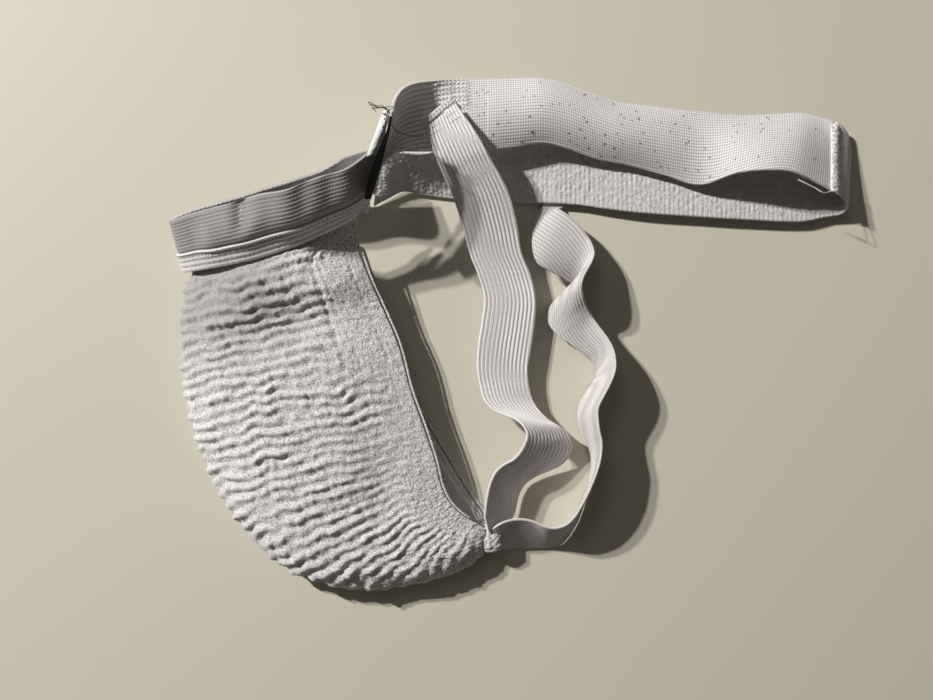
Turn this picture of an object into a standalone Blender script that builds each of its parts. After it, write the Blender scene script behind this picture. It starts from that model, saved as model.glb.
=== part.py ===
"""Groin protector: an elastic supporter with a cup pocket, lying folded on its side.

Metres, +Z up. The far side rests on Z = 0, X runs from the centre front to the
centre back of the waistband, and Y runs from the crotch tip to the waistband.
Sizes and tables are in millimetres; MM turns them into metres.
"""

import math

import bmesh
import bpy
import numpy as np
from mathutils import Matrix, Vector

MM = 0.001
BAND_THICK = 1.6  # woven elastic of the waistband
STRAP_THICK = 1.3  # ribbed elastic of the leg straps and their hems
POUCH_THICK = 1.8  # gathered terry knit
LINING_THICK = 0.8  # pocket panel
LABEL_THICK = 0.45
PATCH_THICK = 0.8
CENTRE_SEAM_THICK = 1.0
SEAM_TAPE_THICK = 0.9
SEAM_CORD_RADIUS = 1.2
BINDING_RADIUS = 0.6
THREAD_RADIUS = 0.3
SHARP_ANGLE = math.radians(50)
CORD_BEVEL_RESOLUTION = 1

TACK_SIZE = (2.8, 10.0, 12.0)
TACK_CENTRE = (92.6, -51.2, 7.5)
TACK_TURN = math.radians(-8)
TACK_BEVEL = 0.8

# Strip edges: x, y, z at matching stations along the two edges of each strip.
WAISTBAND_FRONT_UPPER = (
    (36.6, 131.6, 19.0), (25.4, 124.8, 28.0), (14.2, 120.6, 30.5), (1.5, 116.8, 31.5),
    (-11.0, 113.7, 31.0), (-22.9, 110.2, 29.5), (-34.9, 107.3, 27.5), (-45.3, 104.8, 25.0),
    (-53.4, 102.4, 22.5), (-57.2, 100.6, 21.5), (-55.0, 100.1, 23.5), (-46.2, 102.0, 28.5),
    (-33.3, 104.5, 34.0), (-19.3, 107.3, 39.5), (-6.1, 109.7, 44.5), (7.0, 112.2, 48.5),
    (18.0, 115.3, 51.0), (29.4, 120.2, 51.0), (38.9, 128.1, 48.5), (45.8, 142.9, 46.0),
)
WAISTBAND_FRONT_LOWER = (
    (32.5, 109.1, 1.2), (24.6, 104.7, 0.9), (17.3, 101.3, 0.9), (2.6, 94.5, 0.9),
    (-9.6, 90.1, 0.9), (-21.9, 86.2, 0.9), (-35.1, 82.7, 0.9), (-46.3, 80.3, 0.9),
    (-53.4, 78.3, 1.8), (-55.4, 77.1, 4.5), (-52.6, 76.8, 8.5), (-43.9, 77.5, 14.0),
    (-28.9, 79.7, 19.0), (-14.0, 82.7, 23.0), (0.5, 87.0, 26.0), (12.8, 92.0, 27.5),
    (22.7, 96.5, 28.5), (28.8, 100.1, 29.5), (32.1, 102.7, 30.3), (34.2, 105.8, 31.0),
)
NEAR_HIP_UPPER = (
    (48.4, 145.5, 46.0), (49.6, 152.1, 43.0), (52.4, 157.8, 38.0), (57.4, 162.4, 30.0),
    (66.3, 166.0, 20.0), (76.1, 167.7, 14.5), (90.9, 168.7, 11.5),
)
NEAR_HIP_LOWER = (
    (38.7, 110.4, 31.5), (42.9, 122.6, 35.0), (50.3, 129.3, 33.5), (59.2, 130.9, 28.5),
    (67.3, 132.1, 22.5), (77.1, 133.2, 18.0), (90.8, 134.2, 15.3),
)
BACK_NEAR_UPPER = (
    (92.4, 168.7, 11.5), (104.8, 169.2, 10.5), (116.9, 169.3, 10.0), (127.5, 167.5, 9.5),
    (141.0, 162.9, 9.0), (154.6, 158.4, 8.5), (174.9, 155.9, 8.0), (194.3, 154.1, 7.5),
    (214.0, 152.5, 6.0), (228.8, 153.0, 5.0), (243.4, 153.7, 5.0), (253.7, 151.3, 6.0),
    (258.7, 149.8, 7.0),
)
BACK_NEAR_LOWER = (
    (92.3, 134.2, 15.3), (104.7, 135.8, 14.3), (118.1, 137.7, 13.5), (130.1, 135.3, 12.0),
    (144.9, 130.9, 9.0), (158.0, 128.6, 8.2), (176.8, 123.5, 8.2), (193.6, 118.3, 10.5),
    (208.8, 121.9, 22.0), (220.6, 122.5, 26.5), (233.4, 121.7, 25.5), (246.6, 117.1, 21.0),
    (254.7, 113.8, 18.0),
)
FAR_HIP_UPPER = (
    (134.6, 146.6, 1.8), (124.8, 146.6, 2.0), (107.7, 146.0, 2.2), (93.0, 145.0, 2.4),
    (82.3, 142.2, 4.5), (72.7, 136.6, 10.5), (61.5, 132.2, 18.5), (50.4, 132.2, 22.0),
    (42.9, 132.7, 22.0), (38.9, 133.5, 19.0),
)
FAR_HIP_LOWER = (
    (134.3, 109.6, 4.3), (124.6, 110.4, 4.2), (107.6, 111.0, 3.4), (93.0, 111.8, 2.9),
    (83.3, 112.2, 2.2), (73.5, 113.2, 1.6), (61.3, 114.9, 1.6), (50.6, 116.5, 2.6),
    (41.9, 112.3, 2.6), (36.4, 109.5, 1.6),
)
NEAR_STRAP_FRONT = (
    (63.3, 142.3, 28.2), (64.3, 137.1, 28.6), (66.1, 131.6, 28.4), (68.4, 125.8, 27.4),
    (70.7, 120.6, 25.6), (75.7, 109.6, 21.0), (79.9, 97.0, 16.3), (83.3, 84.5, 13.0),
    (87.1, 75.1, 11.8), (90.0, 64.1, 11.2), (88.8, 52.6, 11.2), (87.1, 41.6, 11.5),
    (86.6, 30.6, 11.5), (88.0, 22.0, 12.0), (89.9, 15.4, 14.0), (94.1, 10.8, 16.5),
    (99.7, 8.6, 19.0), (104.3, 6.8, 21.0), (107.5, 4.1, 23.0), (109.4, 0.4, 23.5),
    (108.9, -3.3, 23.5), (106.6, -8.1, 22.5), (103.4, -11.9, 21.5), (98.7, -14.6, 21.0),
    (94.9, -17.9, 22.0), (92.6, -22.6, 22.5), (91.2, -28.3, 22.0), (90.3, -34.5, 21.0),
    (90.0, -39.4, 20.0), (90.8, -42.7, 18.5),
)
NEAR_STRAP_BACK = (
    (76.7, 154.2, 24.8), (80.9, 147.6, 27.2), (86.0, 139.9, 28.8), (90.1, 133.0, 28.4),
    (93.4, 127.4, 26.4), (101.1, 114.3, 21.2), (105.5, 99.9, 16.0), (108.1, 86.1, 12.0),
    (112.6, 75.2, 9.6), (115.0, 63.2, 9.3), (114.3, 51.2, 8.9), (112.6, 39.2, 8.8),
    (111.2, 29.6, 8.8), (111.7, 22.4, 9.0), (113.6, 15.1, 9.0), (116.8, 10.0, 11.0),
    (121.4, 5.3, 13.0), (126.1, 2.5, 14.0), (129.6, 0.1, 13.0), (131.7, -3.9, 11.0),
    (132.4, -8.0, 8.5), (130.7, -13.1, 6.0), (127.5, -16.6, 4.5), (121.7, -19.4, 3.5),
    (115.4, -22.2, 3.0), (110.6, -25.6, 2.5), (107.7, -30.0, 2.5), (106.2, -34.9, 2.5),
    (105.5, -38.8, 2.5), (104.3, -41.7, 2.5),
)
FAR_STRAP_TOP = (
    (97.4, -42.4, 19.0), (101.1, -40.9, 19.5), (104.9, -40.2, 19.5), (108.7, -40.3, 19.5),
    (112.9, -41.3, 19.5), (118.5, -43.7, 19.5), (123.5, -44.3, 20.0), (128.3, -42.7, 21.0),
    (132.3, -38.6, 23.0), (134.9, -34.0, 24.5), (137.6, -28.7, 25.5), (139.9, -23.5, 26.0),
    (142.2, -17.5, 26.0), (144.1, -11.0, 25.5), (144.6, -4.0, 25.5), (143.4, 2.5, 25.5),
    (142.8, 8.9, 25.0), (143.3, 13.1, 25.0), (145.8, 18.0, 25.0), (148.4, 22.9, 25.0),
    (150.9, 28.9, 24.0), (151.6, 34.0, 22.0), (150.8, 39.7, 19.5), (148.4, 44.9, 17.0),
    (144.6, 50.6, 14.5), (141.4, 55.4, 14.0), (138.4, 60.5, 17.0), (136.4, 65.4, 22.0),
    (135.5, 69.9, 25.0), (136.2, 73.4, 25.0), (138.6, 77.6, 22.5), (140.7, 81.1, 19.5),
    (142.1, 85.3, 17.0), (141.2, 90.1, 15.0), (139.0, 94.2, 13.5), (134.1, 100.3, 12.8),
    (129.2, 104.5, 12.2), (126.4, 106.5, 11.0), (125.3, 107.5, 9.5), (125.3, 107.5, 7.2),
    (127.0, 107.9, 4.4), (129.7, 109.3, 1.8), (132.7, 112.6, 0.8),
)
FAR_STRAP_BOTTOM = (
    (99.4, -58.6, 1.2), (103.8, -58.4, 1.0), (108.2, -57.9, 1.0), (113.1, -57.5, 1.0),
    (118.0, -57.4, 1.0), (122.4, -57.1, 1.0), (127.3, -55.9, 1.0), (131.2, -51.8, 1.0),
    (134.6, -46.4, 1.0), (137.1, -40.5, 1.0), (139.0, -34.6, 1.0), (141.0, -28.8, 1.0),
    (142.2, -22.9, 1.0), (143.0, -17.0, 1.0), (142.2, -11.7, 1.0), (140.0, -6.3, 1.0),
    (138.1, -1.4, 1.0), (136.4, 4.0, 1.0), (136.1, 9.4, 1.0), (137.3, 14.3, 1.0),
    (140.5, 18.7, 1.0), (143.9, 23.6, 1.0), (145.7, 28.9, 1.0), (143.1, 33.8, 2.0),
    (138.0, 37.5, 3.2), (132.7, 41.6, 4.2), (126.1, 46.2, 4.0), (121.8, 51.6, 2.6),
    (120.8, 56.5, 1.6), (122.9, 60.7, 1.2), (126.8, 64.9, 1.0), (130.7, 68.6, 1.2),
    (133.1, 71.1, 2.0), (130.3, 72.9, 5.0), (125.1, 75.3, 9.0), (119.2, 78.1, 11.6),
    (115.5, 80.8, 12.0), (113.5, 85.7, 11.0), (113.1, 92.1, 9.0), (113.7, 97.7, 7.0),
    (115.3, 103.3, 4.4), (118.0, 108.0, 1.8), (120.5, 113.6, 0.8),
)
SEAM_TAPE_FRONT = (
    (45.2, 143.9, 50.0), (43.7, 140.0, 51.0), (41.9, 135.3, 52.0), (39.7, 129.6, 52.0),
    (37.7, 123.8, 52.6),
)
SEAM_TAPE_BACK = (
    (47.6, 144.8, 52.0), (46.7, 140.9, 52.5), (45.2, 136.1, 52.5), (43.1, 131.1, 51.5),
    (40.7, 125.4, 51.0),
)
LABEL_FREE_EDGE = (
    (48.8, 141.5, 54.0), (46.5, 133.8, 55.0), (42.5, 125.3, 54.0), (39.2, 117.3, 52.0),
    (37.3, 111.3, 48.5), (36.1, 106.5, 45.0),
)
LABEL_SEWN_EDGE = (
    (48.7, 142.0, 49.6), (47.0, 134.5, 47.5), (45.1, 127.4, 45.5), (43.1, 120.6, 43.5),
    (40.8, 114.4, 40.5), (38.0, 107.7, 37.0),
)
NEAR_HEM_UPPER = ((60.6, 144.9, 28.8), (67.4, 151.1, 26.2), (74.3, 157.6, 22.6))
NEAR_HEM_LOWER = ((62.5, 143.0, 28.6), (69.3, 148.9, 26.6), (75.9, 155.2, 24.0))
FAR_HEM_LOWER = ((120.0, 115.3, 0.8), (133.2, 114.3, 0.8))
FAR_HEM_UPPER = ((120.0, 120.9, 0.8), (133.2, 119.9, 0.8))
LAP_PATCH_UPPER = ((79.9, 164.0, 17.6), (89.9, 164.3, 16.4))
LAP_PATCH_LOWER = ((80.0, 153.4, 22.6), (89.8, 153.5, 22.0))
CENTRE_BACK_NEAR = ((256.9, 148.2, 9.8), (255.1, 130.4, 15.4), (253.3, 113.9, 20.6))
CENTRE_BACK_FAR = ((260.8, 147.4, 9.2), (259.0, 129.2, 14.0), (257.4, 112.8, 18.5))
BACK_FAR_UPPER = (
    (260.1, 149.4, 7.0), (263.4, 147.7, 5.8), (266.8, 143.7, 4.0), (268.5, 137.2, 2.6),
    (268.5, 132.0, 1.4), (265.2, 130.7, 0.9), (258.4, 132.1, 0.9), (256.9, 132.6, 0.9),
    (244.7, 135.1, 0.9), (215.4, 139.0, 0.9), (190.9, 140.4, 0.9), (166.4, 142.4, 0.9),
    (149.3, 144.3, 1.0), (136.1, 146.2, 1.6),
)
BACK_FAR_LOWER = (
    (256.5, 113.3, 17.0), (259.8, 112.5, 14.5), (263.1, 110.5, 12.0), (264.9, 108.0, 9.0),
    (264.2, 105.7, 6.5), (261.8, 104.5, 5.0), (257.2, 103.8, 4.4), (255.7, 103.5, 4.4),
    (243.4, 101.3, 5.0), (214.1, 102.4, 5.5), (189.9, 103.9, 5.5), (165.7, 105.6, 5.5),
    (148.8, 107.6, 5.0), (135.7, 109.6, 4.4),
)

# Rise of the strip's middle in Z, one height per station of its edges.
NEAR_HIP_CROWN = (0, -2, -4, -3.5, 0, 4, 6.2)
BACK_NEAR_CROWN = (6.4, 7.2, 8.0, 7.8, 8.2, 8.4, 7, 4.8, 4.4, 4.2, 3.6, 1.6, 0)

# Centre lines of the cords: x, y, z.
FAR_SEAM_LINE = ((36.1, 117.7, 11.5), (34.1, 111.5, 8.0), (32.6, 105.7, 5.0))
BLACK_THREAD_LINE = (
    (39.6, 146.5, 54.0), (41.3, 145.4, 56.0), (43.1, 144.6, 56.5), (45.3, 144.6, 56.5),
    (47.4, 143.8, 55.5), (48.1, 141.9, 56.0),
)
LABEL_THREAD_LINE = (
    (47.6, 138.1, 58.5), (49.2, 136.6, 56.5), (51.4, 135.3, 51.0), (54.7, 134.8, 46.5),
    (58.5, 135.2, 42.0), (62.4, 136.0, 38.6),
)
WHITE_THREAD_LINE = (
    (234.4, 117.8, 29.5), (238.1, 116.0, 29.5), (242.6, 114.1, 28.5), (246.7, 112.1, 27.5),
)
NEAR_BINDING_LINE = (
    (31.8, 88.0, 19.6), (36.5, 74.3, 19.2), (42.0, 61.7, 17.6), (50.5, 41.9, 17.5),
    (56.1, 20.6, 17.5), (62.8, 2.1, 17.5), (67.7, -13.0, 17.5), (70.6, -24.9, 17.0),
    (74.3, -32.5, 16.5), (79.1, -37.6, 16.0), (83.6, -40.8, 15.0),
)
FAR_BINDING_LINE = (
    (29.9, 90.0, 0.8), (34.8, 75.8, 0.8), (40.6, 62.6, 0.8), (49.4, 42.0, 0.8),
    (54.6, 20.0, 0.8), (65.1, -0.0, 0.8), (74.2, -15.2, 0.8), (81.5, -27.4, 0.8),
    (86.6, -34.8, 0.8), (89.6, -38.7, 0.8), (91.5, -42.1, 0.8),
)

# One cross-section per group, from the waistband to the tip. Points x, y, z run
# from the near leg edge, over the front fold, to the far leg edge.
POUCH_SECTIONS = (
    ((33.3, 112.6, 32.2), (25.9, 105.4, 33.4), (11.1, 99.0, 31.9), (-9.9, 92.5, 27.6),
     (-29.0, 87.9, 21.4), (-50.0, 84.0, 11.4), (-44.8, 85.5, 11.0), (-24.7, 91.1, 12.0),
     (2.3, 99.6, 12.7), (24.8, 109.1, 11.6)),
    ((30.8, 103.4, 26.4), (26.4, 98.9, 26.1), (13.0, 92.3, 25.0), (-8.0, 84.6, 21.9),
     (-27.6, 79.7, 16.4), (-49.4, 76.3, 6.0), (-45.1, 77.5, 3.2), (-24.5, 83.1, 2.7),
     (2.6, 92.2, 2.6), (24.6, 102.5, 2.7)),
    ((30.7, 87.7, 19.6), (16.7, 83.6, 22.9), (-0.9, 78.9, 23.4), (-20.6, 74.0, 21.2),
     (-39.5, 69.7, 16.2), (-52.8, 67.1, 9.3), (-46.8, 69.8, 0.9), (-21.7, 76.4, 0.9),
     (3.4, 83.0, 0.9), (28.5, 89.6, 0.9)),
    ((35.4, 74.1, 19.2), (20.4, 70.2, 24.2), (1.6, 65.8, 25.0), (-19.2, 61.2, 24.0),
     (-39.1, 57.0, 20.0), (-53.7, 54.5, 11.5), (-47.6, 56.9, 0.9), (-20.6, 63.1, 0.9),
     (6.4, 69.2, 0.9), (33.4, 75.4, 0.9)),
    ((40.9, 61.4, 17.6), (24.5, 57.5, 20.6), (4.4, 52.8, 22.4), (-17.8, 47.7, 22.4),
     (-38.6, 43.1, 20.5), (-53.9, 40.2, 12.5), (-47.4, 42.4, 0.9), (-18.5, 49.0, 0.9),
     (10.4, 55.6, 0.9), (39.3, 62.2, 0.9)),
    ((49.4, 41.6, 17.5), (31.8, 37.7, 20.8), (10.6, 33.1, 25.0), (-13.1, 28.1, 24.9),
     (-35.5, 23.4, 22.0), (-51.8, 20.1, 13.0), (-44.8, 21.8, 0.9), (-13.8, 28.4, 0.9),
     (17.1, 35.0, 0.9), (48.1, 41.6, 0.9)),
    ((55.1, 20.3, 17.5), (37.3, 16.6, 20.8), (16.0, 12.2, 25.4), (-7.8, 7.2, 24.9),
     (-30.3, 2.3, 22.0), (-46.6, -1.4, 13.0), (-39.5, -0.2, 0.9), (-8.6, 6.4, 0.9),
     (22.3, 13.0, 0.9), (53.2, 19.6, 0.9)),
    ((61.7, 1.8, 17.5), (44.1, -2.1, 20.6), (23.0, -6.7, 24.6), (-0.5, -12.2, 24.4),
     (-22.5, -17.6, 21.8), (-38.6, -21.9, 12.5), (-30.9, -21.1, 0.9), (0.6, -14.2, 0.9),
     (32.2, -7.3, 0.9), (63.7, -0.4, 0.9)),
    ((66.7, -13.3, 17.5), (50.3, -18.2, 19.8), (30.6, -24.1, 22.8), (8.8, -30.9, 23.2),
     (-11.5, -37.5, 21.2), (-26.2, -43.0, 12.3), (-18.6, -42.0, 0.9), (11.9, -33.2, 0.9),
     (42.3, -24.4, 0.9), (72.8, -15.6, 0.9)),
    ((69.5, -25.2, 17.0), (55.6, -31.0, 19.0), (38.6, -38.2, 20.6), (20.0, -46.3, 21.0),
     (2.8, -53.9, 19.8), (-9.6, -60.4, 11.5), (-2.4, -59.1, 0.9), (25.1, -48.6, 0.9),
     (52.6, -38.2, 0.9), (80.1, -27.8, 0.9)),
    ((73.3, -32.8, 16.5), (62.5, -39.2, 18.0), (49.4, -47.1, 19.2), (35.0, -55.9, 19.3),
     (21.7, -64.3, 17.8), (12.3, -71.1, 10.5), (18.3, -69.5, 0.9), (40.6, -58.0, 0.9),
     (63.0, -46.6, 0.9), (85.2, -35.1, 0.9)),
    ((78.0, -37.9, 16.0), (70.6, -44.1, 17.0), (61.6, -51.8, 17.9), (51.7, -60.3, 17.7),
     (42.5, -68.5, 15.8), (36.2, -75.0, 9.5), (40.6, -73.2, 0.9), (56.5, -61.8, 0.9),
     (72.3, -50.4, 0.9), (88.2, -39.1, 0.9)),
    ((82.5, -41.1, 15.0), (78.6, -46.3, 16.0), (73.7, -52.6, 17.0), (68.4, -59.8, 16.8),
     (63.5, -66.8, 14.6), (60.1, -72.3, 8.5), (62.9, -70.9, 0.9), (72.0, -61.4, 0.9),
     (81.0, -52.0, 0.9), (90.1, -42.5, 0.9)),
    ((87.1, -43.7, 14.0), (85.7, -47.4, 15.0), (84.0, -51.9, 15.6), (82.2, -57.2, 14.8),
     (80.5, -62.5, 12.2), (79.4, -66.5, 7.5), (80.6, -65.8, 0.9), (84.3, -59.3, 0.9),
     (87.9, -52.9, 0.9), (91.6, -46.4, 0.9)),
    ((90.7, -46.5, 12.6), (90.5, -48.6, 12.8), (90.4, -51.3, 12.4), (90.2, -54.2, 11.6),
     (90.1, -57.2, 9.6), (90.0, -59.5, 6.2), (90.3, -59.5, 0.9), (90.9, -56.5, 0.9),
     (91.5, -53.4, 0.9), (92.1, -50.3, 0.9)),
)
# Laid out as above, starting at the panel's upper end.
LINING_SECTIONS = (
    ((33.0, 73.8, 16.6), (28.5, 73.2, 12.0), (21.8, 72.1, 7.4), (-1.4, 66.8, 6.9),
     (-22.8, 62.0, 6.9), (-37.2, 58.7, 6.6), (-45.2, 57.1, 4.9), (-38.1, 58.9, 2.9),
     (-15.7, 64.0, 2.7), (6.7, 69.1, 2.7), (31.3, 74.8, 2.7)),
    ((38.4, 61.0, 15.0), (33.8, 60.2, 12.0), (26.7, 58.9, 7.4), (1.9, 53.2, 6.9),
     (-21.1, 48.0, 6.9), (-36.4, 44.5, 6.6), (-45.0, 42.7, 4.9), (-37.3, 44.6, 2.9),
     (-13.4, 50.0, 2.7), (10.6, 55.5, 2.7), (37.0, 61.6, 2.7)),
    ((46.7, 41.0, 14.9), (42.0, 40.1, 12.0), (34.5, 38.6, 7.4), (7.8, 32.9, 6.9),
     (-16.7, 27.7, 6.9), (-33.1, 24.2, 6.6), (-42.2, 22.3, 4.9), (-34.0, 24.1, 2.9),
     (-8.4, 29.6, 2.7), (17.4, 35.1, 2.7), (45.6, 41.1, 2.7)),
    ((52.4, 19.6, 14.9), (47.7, 18.6, 12.0), (40.2, 16.9, 7.4), (13.4, 11.2, 6.9),
     (-11.2, 6.0, 6.9), (-27.7, 2.5, 6.6), (-36.8, 0.5, 4.9), (-28.7, 2.2, 2.9),
     (-3.1, 7.6, 2.7), (22.5, 13.1, 2.7), (50.8, 19.2, 2.7)),
    ((59.1, 1.1, 14.9), (54.5, -0.2, 12.0), (47.1, -2.2, 7.4), (20.8, -8.4, 6.9),
     (-3.5, -14.1, 6.9), (-19.8, -17.9, 6.6), (-28.8, -20.2, 4.9), (-20.0, -18.6, 2.9),
     (6.2, -12.9, 2.7), (32.4, -7.2, 2.7), (61.2, -0.8, 2.7)),
    ((64.3, -14.3, 14.9), (60.0, -15.9, 12.0), (53.3, -18.5, 7.4), (28.9, -26.2, 6.9),
     (6.4, -33.3, 6.9), (-8.7, -38.1, 6.6), (-17.0, -40.9, 4.9), (-8.1, -38.8, 2.9),
     (17.2, -31.5, 2.7), (42.5, -24.2, 2.7), (70.3, -16.1, 2.7)),
    ((67.5, -26.4, 14.4), (63.9, -28.2, 12.0), (58.1, -31.3, 7.4), (37.4, -40.4, 6.9),
     (18.2, -48.8, 6.9), (5.4, -54.4, 6.6), (-1.6, -57.7, 4.9), (7.0, -55.2, 2.9),
     (29.9, -46.6, 2.7), (52.7, -38.0, 2.7), (77.8, -28.4, 2.7)),
    ((71.7, -34.1, 13.9), (69.0, -36.1, 12.0), (64.5, -39.5, 7.4), (48.6, -49.3, 6.9),
     (33.9, -58.4, 6.9), (24.0, -64.5, 6.6), (18.6, -68.0, 4.9), (26.0, -65.2, 2.9),
     (44.5, -55.8, 2.7), (63.0, -46.3, 2.7), (83.4, -35.8, 2.7)),
    ((77.0, -39.2, 13.4), (75.1, -41.0, 12.0), (72.1, -44.3, 7.4), (61.1, -53.8, 6.9),
     (51.0, -62.5, 6.9), (44.3, -68.4, 6.6), (40.6, -71.8, 4.9), (46.1, -69.0, 2.9),
     (59.2, -59.5, 2.7), (72.4, -50.1, 2.7), (86.8, -39.7, 2.7)),
    ((82.0, -42.3, 12.4), (81.0, -43.9, 11.0), (79.4, -46.6, 7.4), (73.6, -54.5, 6.9),
     (68.2, -61.8, 6.9), (64.6, -66.7, 6.6), (62.6, -69.6, 4.9), (66.0, -67.3, 2.9),
     (73.5, -59.5, 2.7), (81.0, -51.6, 2.7), (89.4, -43.0, 2.7)),
)

for old in list(bpy.data.objects):
    bpy.data.objects.remove(old, do_unlink=True)

parts = bpy.data.collections.new("groin_protector")
cutters = bpy.data.collections.new("cutters")
bpy.context.scene.collection.children.link(parts)
bpy.context.scene.collection.children.link(cutters)


def material(name, colour, roughness):
    mat = bpy.data.materials.new(name)
    mat.use_nodes = True
    bsdf = mat.node_tree.nodes["Principled BSDF"]
    bsdf.inputs["Base Color"].default_value = (*colour, 1.0)
    bsdf.inputs["Roughness"].default_value = roughness
    return mat


def file_under(obj, collection):
    for current in list(obj.users_collection):
        current.objects.unlink(obj)
    collection.objects.link(obj)


def smooth(mesh):
    mesh.polygons.foreach_set("use_smooth", [True] * len(mesh.polygons))
    mesh.set_sharp_from_angle(angle=SHARP_ANGLE)


def step_lengths(points):
    return np.linalg.norm(np.diff(points, axis=0), axis=-1)


def knots_from(steps):
    """Running total of the steps, scaled to run from 0 to 1."""
    total = np.r_[0.0, np.cumsum(steps)]
    return total / total[-1]


def curve_at(points, knots, place):
    """Smooth cubic through the points, or rows of points, at place between 0 and 1."""
    last = len(points) - 2
    i = int(min(max(np.searchsorted(knots, place, side="right") - 1, 0), last))

    def slope(start, end):
        return (points[end] - points[start]) / (knots[end] - knots[start])

    gap = knots[i + 1] - knots[i]
    s = (place - knots[i]) / gap
    slope_in = slope(max(i - 1, 0), i + 1)
    slope_out = slope(i, min(i + 2, last + 1))
    return (
        (2 * s**3 - 3 * s**2 + 1) * points[i]
        + (s**3 - 2 * s**2 + s) * gap * slope_in
        + (-2 * s**3 + 3 * s**2) * points[i + 1]
        + (s**3 - s**2) * gap * slope_out
    )


def sheet(name, shape, grid, thick, mat):
    """A grid bent by shape(u, v) in millimetres and thickened to both sides."""
    bpy.ops.mesh.primitive_grid_add(x_subdivisions=grid[0], y_subdivisions=grid[1], size=2.0)
    obj = bpy.context.object
    obj.name = obj.data.name = name
    for vert in obj.data.vertices:
        vert.co = Vector(shape((vert.co.x + 1) / 2, (vert.co.y + 1) / 2)) * MM
    obj.data.materials.append(mat)
    solid = obj.modifiers.new("thickness", "SOLIDIFY")
    solid.thickness = thick * MM
    solid.offset = 0.0
    solid.use_even_offset = True
    solid.thickness_clamp = 1.0
    file_under(obj, parts)
    smooth(obj.data)


def strip(name, edge_a, edge_b, grid, thick, mat, crown=0.0):
    """A tape between two edge lines, arched across its width by the crown heights."""
    edge_a, edge_b = np.array(edge_a), np.array(edge_b)
    knots = knots_from(step_lengths((edge_a + edge_b) / 2))
    rise = np.zeros_like(edge_a)
    rise[:, 2] = crown

    def shape(u, v):
        flat = curve_at(edge_a, knots, u) * (1 - v) + curve_at(edge_b, knots, u) * v
        return flat + curve_at(rise, knots, u) * (4 * v * (1 - v))

    sheet(name, shape, grid, thick, mat)


def loft(name, sections, grid, thick, mat):
    """A sheet through a list of cross-sections."""
    sections = np.array(sections)
    along = knots_from(step_lengths(sections.mean(1)))
    across = knots_from(np.linalg.norm(np.diff(sections, axis=1), axis=2).mean(0))

    def shape(u, v):
        return curve_at(curve_at(sections, along, u), across, v)

    sheet(name, shape, grid, thick, mat)


def tube(name, points, radius, mat, closed=False):
    data = bpy.data.curves.new(name, "CURVE")
    data.dimensions = "3D"
    data.bevel_depth = radius * MM
    data.bevel_resolution = CORD_BEVEL_RESOLUTION
    data.use_fill_caps = not closed
    path = data.splines.new("POLY")
    path.use_cyclic_u = closed
    path.points.add(len(points) - 1)
    for target, point in zip(path.points, points):
        target.co = (*(Vector(point) * MM), 1.0)
    data.materials.append(mat)
    parts.objects.link(bpy.data.objects.new(name, data))


def cord(name, line, radius, mat, steps=2):
    """A tube on a curve through line, with the given steps per table point."""
    line = np.array(line)
    knots = knots_from(np.sqrt(step_lengths(line)))
    count = (len(line) - 1) * steps
    tube(name, [curve_at(line, knots, i / count) for i in range(count + 1)], radius, mat)


band_mat = material("waistband_elastic", colour=(0.86, 0.85, 0.84), roughness=0.85)
back_mat = material("waistband_back_elastic", colour=(0.84, 0.83, 0.83), roughness=0.86)
strap_mat = material("ribbed_strap_elastic", colour=(0.88, 0.87, 0.86), roughness=0.8)
far_strap_mat = material("far_strap_elastic", colour=(0.87, 0.86, 0.85), roughness=0.8)
terry_mat = material("terry_knit", colour=(0.87, 0.86, 0.86), roughness=0.95)
lining_mat = material("pocket_mesh", colour=(0.8, 0.8, 0.79), roughness=0.9)
label_mat = material("label_black", colour=(0.012, 0.012, 0.014), roughness=0.6)
tape_mat = material("seam_tape", colour=(0.82, 0.86, 0.86), roughness=0.8)
thread_mat = material("black_thread", colour=(0.02, 0.02, 0.022), roughness=0.7)
white_thread_mat = material("white_thread", colour=(0.88, 0.88, 0.87), roughness=0.7)
cup_mat = material("cup_plastic", colour=(0.78, 0.79, 0.8), roughness=0.4)
rim_mat = material("rim_rubber", colour=(0.62, 0.62, 0.62), roughness=0.75)
hem_mat = material("hem_elastic", colour=(0.88, 0.88, 0.87), roughness=0.8)

# Pouch: the folded knit front, and the panel behind it that makes the cup pocket.
loft("pouch_front_panel", POUCH_SECTIONS, (26, 34), POUCH_THICK, terry_mat)
loft("cup_pocket_panel", LINING_SECTIONS, (16, 26), LINING_THICK, lining_mat)
cord("near_leg_binding", NEAR_BINDING_LINE, BINDING_RADIUS, hem_mat)
cord("far_leg_binding", FAR_BINDING_LINE, BINDING_RADIUS, hem_mat)

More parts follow.
